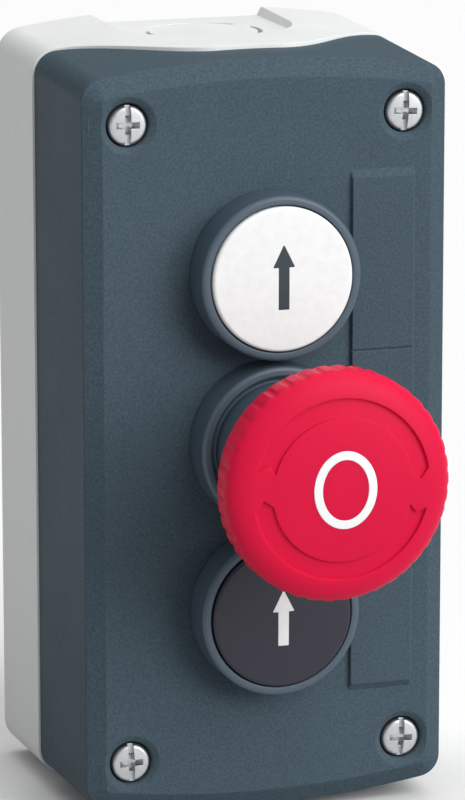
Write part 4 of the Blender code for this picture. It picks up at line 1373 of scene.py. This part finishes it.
@dataclass(frozen=True)
class GripNotches:
    """Presses upright notches into the rim of a round knob whose axis is the local z axis."""

    count: int
    depth: float
    share: float
    radius: float
    back: float
    front: float
    rim_start: float = 0.93

    def shape(self, graph: Graph, given: Mapping[str, Socket]) -> Socket:
        """Moves the points of the rim inwards where a notch is.

        Args:
            graph: The tree's graph.
            given: The tree's inputs.

        Returns:
            The notched knob.
        """
        place = graph.add("GeometryNodeInputPosition")["Position"]
        axes = graph.add("ShaderNodeSeparateXYZ", inputs={"Vector": place})
        angle = graph.calc("ARCTAN2", axes["Y"], axes["X"])
        wave = graph.calc("COSINE", graph.calc("MULTIPLY", angle, given["Count"]))
        in_notch = graph.remap(wave, (given["Share"], -1.0), kind="SMOOTHSTEP")
        flat = graph.add("ShaderNodeCombineXYZ", inputs={"X": axes["X"], "Y": axes["Y"]})[0]
        span = graph.vector("LENGTH", {0: flat})["Value"]
        inner = graph.calc("MULTIPLY", given["Radius"], self.rim_start)
        at_rim = graph.remap(span, (inner, given["Radius"]), kind="SMOOTHSTEP")
        at_back = graph.remap(axes["Z"], (given["Front"], given["Back"]), kind="SMOOTHSTEP")
        amount = graph.calc("MULTIPLY", in_notch, graph.calc("MULTIPLY", at_rim, at_back))
        inward = graph.calc("MULTIPLY", graph.calc("MULTIPLY", amount, given["Depth"]), -1.0)
        outward = graph.vector("NORMALIZE", {0: flat})[0]
        move = graph.vector("SCALE", {0: outward, "Scale": inward})[0]
        pressing = {"Geometry": given["Mesh"], "Offset": move}
        return graph.add("GeometryNodeSetPosition", inputs=pressing)["Geometry"]

    def press(self, mesh: Mesh, material: Material) -> Mesh:
        """Presses the notches into a round knob, which is removed."""
        values = {
            "Count": float(self.count),
            "Depth": self.depth,
            "Share": self.share,
            "Radius": self.radius,
            "Back": self.back,
            "Front": self.front,
        }
        return grown(mesh, "grip_notches", self.shape, values, material)


@dataclass
class StopHead:
    """The mushroom stop head: dished bezel with collar, plunger, and the red knob."""

    finishes: FinishSet
    form: HeadForm = HeadForm()
    radius: float = 20 * MM
    top: float = 93 * MM
    crown: float = 1 * MM
    edge_drop: float = 4.3 * MM
    grip_high: float = 3.4 * MM
    high: float = 12.6 * MM
    wall: float = 3.4 * MM
    undercut: float = 3.6 * MM
    notches: int = 42
    notch_deep: float = 0.24 * MM
    notch_share: float = 0.1
    notch_fade: float = 2 * MM
    notch_steps: int = 8
    crown_steps: int = 24
    edge_steps: int = 20
    grip_steps: int = 8
    flat_share: float = 0.7
    arrow_inner: float = 12.4 * MM
    arrow_outer: float = 15.6 * MM
    arrow_deep: float = 0.75 * MM
    arrow_shallow: float = 0.2 * MM
    arrow_tail: float = 164.5
    arrow_notch: float = 159.5
    arrow_neck: float = 10.0
    arrow_tip: float = 3.5
    neck_radius: float = 9.4 * MM
    collar_radius: float = 11.6 * MM
    collar_top: float = 66 * MM
    spigot_radius: float = 6 * MM
    spigot_length: float = 6 * MM
    hub_radius: float = 10.6 * MM
    travel: float = 6 * MM
    nose_radius: float = 4.6 * MM
    pocket_top: float = 62 * MM
    pocket_radius: float = 8.6 * MM
    ring_wide: float = 5.6 * MM
    ring_tall: float = 6.7 * MM
    ring_stroke: float = 1.5 * MM
    ring_steps: int = 96
    ring_centre: Point2 = (0.2 * MM, 0.1 * MM)

    def build(self) -> None:
        """Builds the bezel, the plunger, the knob and its ring mark."""
        settle, finishes = self.finishes.settle, self.finishes
        settle("stop_bezel_ring", self.bezel(), finishes.bezel_grey, "station", ["stop_bezel"])
        settle("stop_neck", self.plunger(), finishes.cap_black, "stop_plunger", ["stop_plunger"])
        settle("stop_knob_moulding", self.knob(), finishes.knob_red, "stop_knob", ["stop_knob"])
        ring = inlay("ring", self.ring_outlines(), self.face, 0.0)
        settle("stop_knob_ring", ring, finishes.mark_white, "stop_knob")

    def face(self, x: float, y: float) -> float:
        """Gives the height of the knob's crowned face at a place on its flat part."""
        share = math.hypot(x, y) / (self.radius * self.flat_share)
        return self.top - self.crown * share**2

    def ring_outlines(self) -> list[list[Point2]]:
        """Lists the ring mark as a row of four-cornered pieces that share their sides."""
        centre_x, centre_y = self.ring_centre
        stroke = self.ring_stroke
        pieces = []
        for i in range(self.ring_steps):
            outline = []
            for j, inset in ((i, 0.0), (i + 1, 0.0), (i + 1, stroke), (i, stroke)):
                angle = FULL_TURN * j / self.ring_steps
                wide, tall = self.ring_wide - inset, self.ring_tall - inset
                x, y = centre_x + wide * math.cos(angle), centre_y + tall * math.sin(angle)
                outline.append((x, y))
            pieces.append(outline)
        return pieces

    def bezel(self) -> Mesh:
        """Makes the body with the dish round its collar."""
        form = self.form
        rim = form.bezel_radius - form.bezel_lip
        bore = self.neck_radius + CLEARANCE
        dish = form.panel_front + form.bezel_rise - form.bezel_lip
        path = form.outside(rim)[:-1] + [
            (bore, form.tube_end + form.ledge_thick, 0.0),
            (bore, self.collar_top, 0.25 * MM),
            (self.collar_radius, self.collar_top, form.bezel_round),
            (self.collar_radius, dish, 0.4 * MM),
            (rim - form.bezel_round, dish, 0.3 * MM),
        ]
        return form.with_key(turned("bezel", filleted(path, closed=True), closed=True), 0.0)

    def plunger(self) -> Mesh:
        """Makes the neck and nose that carry the push to the contacts."""
        shoulder = self.top - self.high - CLEARANCE - self.undercut
        spigot_end = shoulder + self.spigot_length
        sleeve_end = self.form.tube_end + self.form.ledge_thick + self.travel + 2 * CLEARANCE
        path = filleted(
            [
                (0.0, spigot_end, 0.0),
                (self.spigot_radius, spigot_end, 0.5 * MM),
                (self.spigot_radius, shoulder, 0.0),
                (self.neck_radius, shoulder, 0.4 * MM),
                (self.neck_radius, sleeve_end, 0.2 * MM),
                (self.pocket_radius, sleeve_end, 0.0),
                (self.pocket_radius, self.pocket_top, 0.0),
                (self.nose_radius, self.pocket_top, 0.0),
                (self.nose_radius, self.form.stem_end, 0.4 * MM),
                (0.0, self.form.stem_end, 0.0),
            ]
        )
        return turned("plunger", path, 96)

    def knob(self) -> Mesh:
        """Makes the knob with its notched grip, hollow back and two sunk turn arrows."""
        grip_front = self.top - self.edge_drop
        grip_back = grip_front - self.grip_high
        back = self.top - self.high
        hub_back = back - self.undercut
        bore = self.spigot_radius + CLEARANCE
        hollow = back + self.undercut
        rim = self.radius - self.wall * 0.7
        flat = self.radius * self.flat_share
        steps = self.crown_steps
        face = [(flat * i / steps, self.face(flat * i / steps, 0)) for i in range(steps)]
        drop, rise = self.edge_drop - self.crown, self.radius - flat
        curve = [
            (flat + rise * math.sin(a), self.top - self.crown - drop * (1 - math.cos(a)))
            for a in (math.pi / 2 * i / self.edge_steps for i in range(self.edge_steps + 1))
        ]
        steps = self.grip_steps
        grip = [(self.radius, grip_front - self.grip_high * i / steps) for i in range(1, steps)]
        rear = filleted(
            [
                (*grip[-1], 0.0),
                (self.radius, grip_back, 0.5 * MM),
                (self.radius - self.wall * 0.25, (grip_back + back) / 2, 1.5 * MM),
                (rim, back, 0.6 * MM),
                (rim - self.wall / 2, back, 0.4 * MM),
                (rim - self.wall, hollow, 1 * MM),
                (self.hub_radius + self.wall / 2, hollow, 1 * MM),
                (self.hub_radius, back, 1 * MM),
                (self.hub_radius, hub_back, 0.4 * MM),
                (bore, hub_back, 0.2 * MM),
                (bore, hub_back + self.spigot_length, 0.0),
                (0.0, hub_back + self.spigot_length, 0.0),
            ]
        )
        profile = [*face, *curve, *grip, *rear[1:]]
        knob = turned("knob", profile, self.notches * self.notch_steps)
        heights = (grip_front, grip_front + self.notch_fade)
        notching = GripNotches(
            self.notches, self.notch_deep, self.notch_share, self.radius, *heights
        )
        knob = notching.press(knob, self.finishes.of(self.finishes.knob_red))
        return carve(knob, self.arrow_space())

    def arrow_space(self) -> Mesh:
        """Makes the space of the two turn arrows, deeper at its outer side."""
        level = self.top - self.crown
        wedge = [
            (self.arrow_outer + CLEARANCE, level + PAST),
            (self.arrow_outer + CLEARANCE, level - self.arrow_deep),
            (self.arrow_inner - CLEARANCE, level - self.arrow_shallow),
            (self.arrow_inner - CLEARANCE, level + PAST),
        ]
        ring = turned("ring", wedge, 144, closed=True)
        middle = (self.arrow_inner + self.arrow_outer) / 2
        solids = []
        for half_turn in (0, 180):
            tail, neck = self.arrow_tail + half_turn, self.arrow_neck + half_turn
            outer = arc((0, 0), self.arrow_outer, tail, neck, 72)
            inner = arc((0, 0), self.arrow_inner, neck, tail, 72)
            tip = arc((0, 0), middle, self.arrow_tip + half_turn, neck, 1)[:1]
            notch = arc((0, 0), middle, self.arrow_notch + half_turn, tail, 1)[:1]
            outline = [*outer, *tip, *inner, *notch]
            heights = (level - self.edge_drop, level + PAST / 2)
            solids.append(upright("arrow", [(outline, height) for height in heights]))
        return carve(together("arrows", solids), ring, Operation.KEEP)


# Hidden pieces


@dataclass
class CoilSprings:
    """Return and contact springs that keep the CAD's coils, each put on the station's body.
    """

    finishes: FinishSet
    nodes: Mapping[str, bpy.types.Object]

    def build(self) -> None:
        """Builds the two springs of every head."""
        travels = {
            "white": ButtonHead.travel, "black": ButtonHead.travel, "stop": StopHead.travel
        }
        for head, travel in travels.items():
            self.coil(f"{head}_spring", f"{head}_press", travel)
            self.coil(f"{head}_contact_spring", f"{head}_contact_slide", travel)

    def coil(self, name: str, joint: str, travel: float) -> None:
        """Builds one spring.

        Args:
            name: Name of its CAD node.
            joint: The joint that presses it; not used.
            travel: How far that joint goes; not used.
        """
        node = self.nodes[name]
        mesh = node.data.copy()
        mesh.transform(node.matrix_world)
        mesh.materials.clear()
        finish = self.finishes.wire_steel
        mesh.materials.append(self.finishes.of(finish))
        coil = bpy.data.objects.new(f"{name}_coil", mesh)
        bpy.context.scene.collection.objects.link(coil)
        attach(coil, "station")
        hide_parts(name)
        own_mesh(coil)


@dataclass
class HiddenParts:
    """CAD nodes whose shapes stay: seals, frames and the contact blocks."""

    finishes: FinishSet
    nodes: Mapping[str, bpy.types.Object]

    def finish_of(self, name: str) -> Finish | None:
        """Gives the finish of a node, or nothing where another piece stands for the node."""
        finishes = self.finishes
        kinds = {
            "contact_housing": finishes.block_grey,
            "contact_plunger": finishes.cap_white,
            "contact_bridge": finishes.strip_brass,
            "terminal_screw": finishes.screw_zinc,
            "terminal": finishes.strip_brass,
            "latch_ring": finishes.screw_zinc,
            "clamp_frame": finishes.bezel_grey,
            "seal": finishes.rubber,
            "gasket": finishes.rubber,
        }
        return next((finish for word, finish in kinds.items() if word in name), None)

    def dress(self) -> None:
        """Gives each of these nodes its material."""
        for name, node in self.nodes.items():
            finish = self.finish_of(name)
            if finish is None:
                continue
            for slot in node.material_slots:
                slot.material = self.finishes.of(finish)
            log.info("%s: %s", name, finish.name)


# Studio


@dataclass
class Lamp:
    """A broad soft lamp so far off that it lights the station and the floor evenly."""

    name: str
    direction: Point3
    level: float
    width_degrees: float

    def place(self) -> None:
        """Hangs the lamp and turns it to the station.

        A level of 1 makes a matt surface that faces the lamp as bright as its own colour.
        """
        data = bpy.data.lights.new(self.name, "SUN")
        data.energy = self.level * math.pi
        data.angle = math.radians(self.width_degrees)
        lamp = bpy.data.objects.new(self.name, data)
        away = Vector(self.direction).normalized()
        lamp.location = away
        lamp.rotation_euler = away.to_track_quat("Z", "Y").to_euler()
        bpy.context.scene.collection.objects.link(lamp)


@dataclass
class Studio:
    """Pale floor, soft light and the camera at the photograph's angle."""

    floor_level: float
    floor_half: float = 6.0
    floor_lit: float = 0.42
    floor_seen: float = 0.97
    ambient: float = 0.32
    azimuth: float = 18.16
    elevation: float = 12.8
    roll: float = -0.05
    distance: float = 0.85
    focal_pixels: float = 4734.3
    centre_pixels: Point2 = (227.6, 412.0)
    frame_pixels: Point2 = (465.0, 800.0)
    target: Point3 = (0, -0.03, 0)

    def build(self) -> None:
        """Builds the stage, the light and the camera."""
        self.floor()
        self.world()
        Lamp("key_lamp", direction=(0.38, -0.68, 0.58), level=0.62, width_degrees=52.0).place()
        Lamp("top_lamp", direction=(0.05, 0.1, 1.0), level=0.26, width_degrees=60.0).place()
        Lamp("right_lamp", direction=(0.61, -0.77, 0.19), level=0.28, width_degrees=34.0).place()
        self.camera()
        bpy.context.scene.view_settings.view_transform = "Standard"

    def floor(self) -> None:
        """Lays the pale floor just under the station."""
        half = self.floor_half
        form = bmesh.new()
        outline = rectangle(2 * half, 2 * half, 0)
        form.faces.new([form.verts.new((x, y, self.floor_level)) for x, y in outline])
        mesh = bpy.data.meshes.new("studio_floor")
        form.to_mesh(mesh)
        form.free()
        mesh.materials.append(new_material("matt_paper_floor", self.paper))
        floor = bpy.data.objects.new("studio_floor", mesh)
        bpy.context.scene.collection.objects.link(floor)
        floor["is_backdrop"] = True

    def paper(self, graph: Graph) -> dict[str, object]:
        """Adds the floor's nodes and lists the shader's inputs.

        Camera, glossy and transmission rays see it paler than the light that it throws back.
        """
        rays = graph.add("ShaderNodeLightPath")
        either = graph.calc("MAXIMUM", rays["Is Camera Ray"], rays["Is Glossy Ray"])
        seen = graph.calc("MAXIMUM", either, rays["Is Transmission Ray"])
        lit, pale = [(level, level, level, 1.0) for level in (self.floor_lit, self.floor_seen)]
        return {
            "Base Color": graph.mix(seen, lit, pale),
            "Roughness": 1.0,
            "Specular IOR Level": 0.0,
        }

    def world(self) -> None:
        """Lights the station evenly from all round."""
        world = bpy.data.worlds.new("studio_air")
        bpy.context.scene.world = world
        world.use_nodes = True
        fill(
            world.node_tree.nodes["Background"],
            {"Color": (1.0, 1.0, 1.0, 1.0), "Strength": self.ambient},
        )

    def camera(self) -> None:
        """Sets the camera where the photograph was taken from."""
        azimuth, elevation = math.radians(self.azimuth), math.radians(self.elevation)
        away = Vector(
            (
                -math.sin(azimuth) * math.cos(elevation),
                -math.cos(azimuth) * math.cos(elevation),
                math.sin(elevation),
            )
        )
        data = bpy.data.cameras.new("photo_camera")
        long_side = max(self.frame_pixels)
        data.lens = self.focal_pixels * data.sensor_width / long_side
        data.shift_x = (self.frame_pixels[0] / 2 - self.centre_pixels[0]) / long_side
        data.shift_y = (self.centre_pixels[1] - self.frame_pixels[1] / 2) / long_side
        camera = bpy.data.objects.new("photo_camera", data)
        camera.location = Vector(self.target) + away * self.distance
        turn = away.to_track_quat("Z", "Y").to_matrix().to_4x4()
        turn = turn @ Euler((0, 0, math.radians(self.roll))).to_matrix().to_4x4()
        camera.rotation_euler = turn.to_euler()
        bpy.context.scene.collection.objects.link(camera)
        bpy.context.scene.camera = camera


def main() -> None:
    """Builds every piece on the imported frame."""
    logging.basicConfig(level=logging.INFO, format="%(message)s")
    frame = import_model()
    cad_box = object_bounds()
    finishes = FinishSet()
    Enclosure(finishes).build()
    pitch = Enclosure.head_pitch
    white_arrow = UpArrow(tip=6.2 * MM, shoulder=2.2 * MM, foot=-5.2 * MM)
    black_arrow = UpArrow(tip=4.9 * MM, shoulder=0.95 * MM, foot=-5.2 * MM)
    heads = (
        ("white", pitch, finishes.cap_white, finishes.mark_dark, white_arrow),
        ("black", -pitch, finishes.cap_black, finishes.mark_white, black_arrow),
    )
    for head in heads:
        ButtonHead(finishes, *head).build()
    StopHead(finishes).build()
    CoilSprings(finishes, frame["nodes"]).build()
    HiddenParts(finishes, frame["nodes"]).dress()
    Studio(floor_level=cad_box[0][2] - 0.2 * MM).build()


if __name__ == "__main__":
    main()
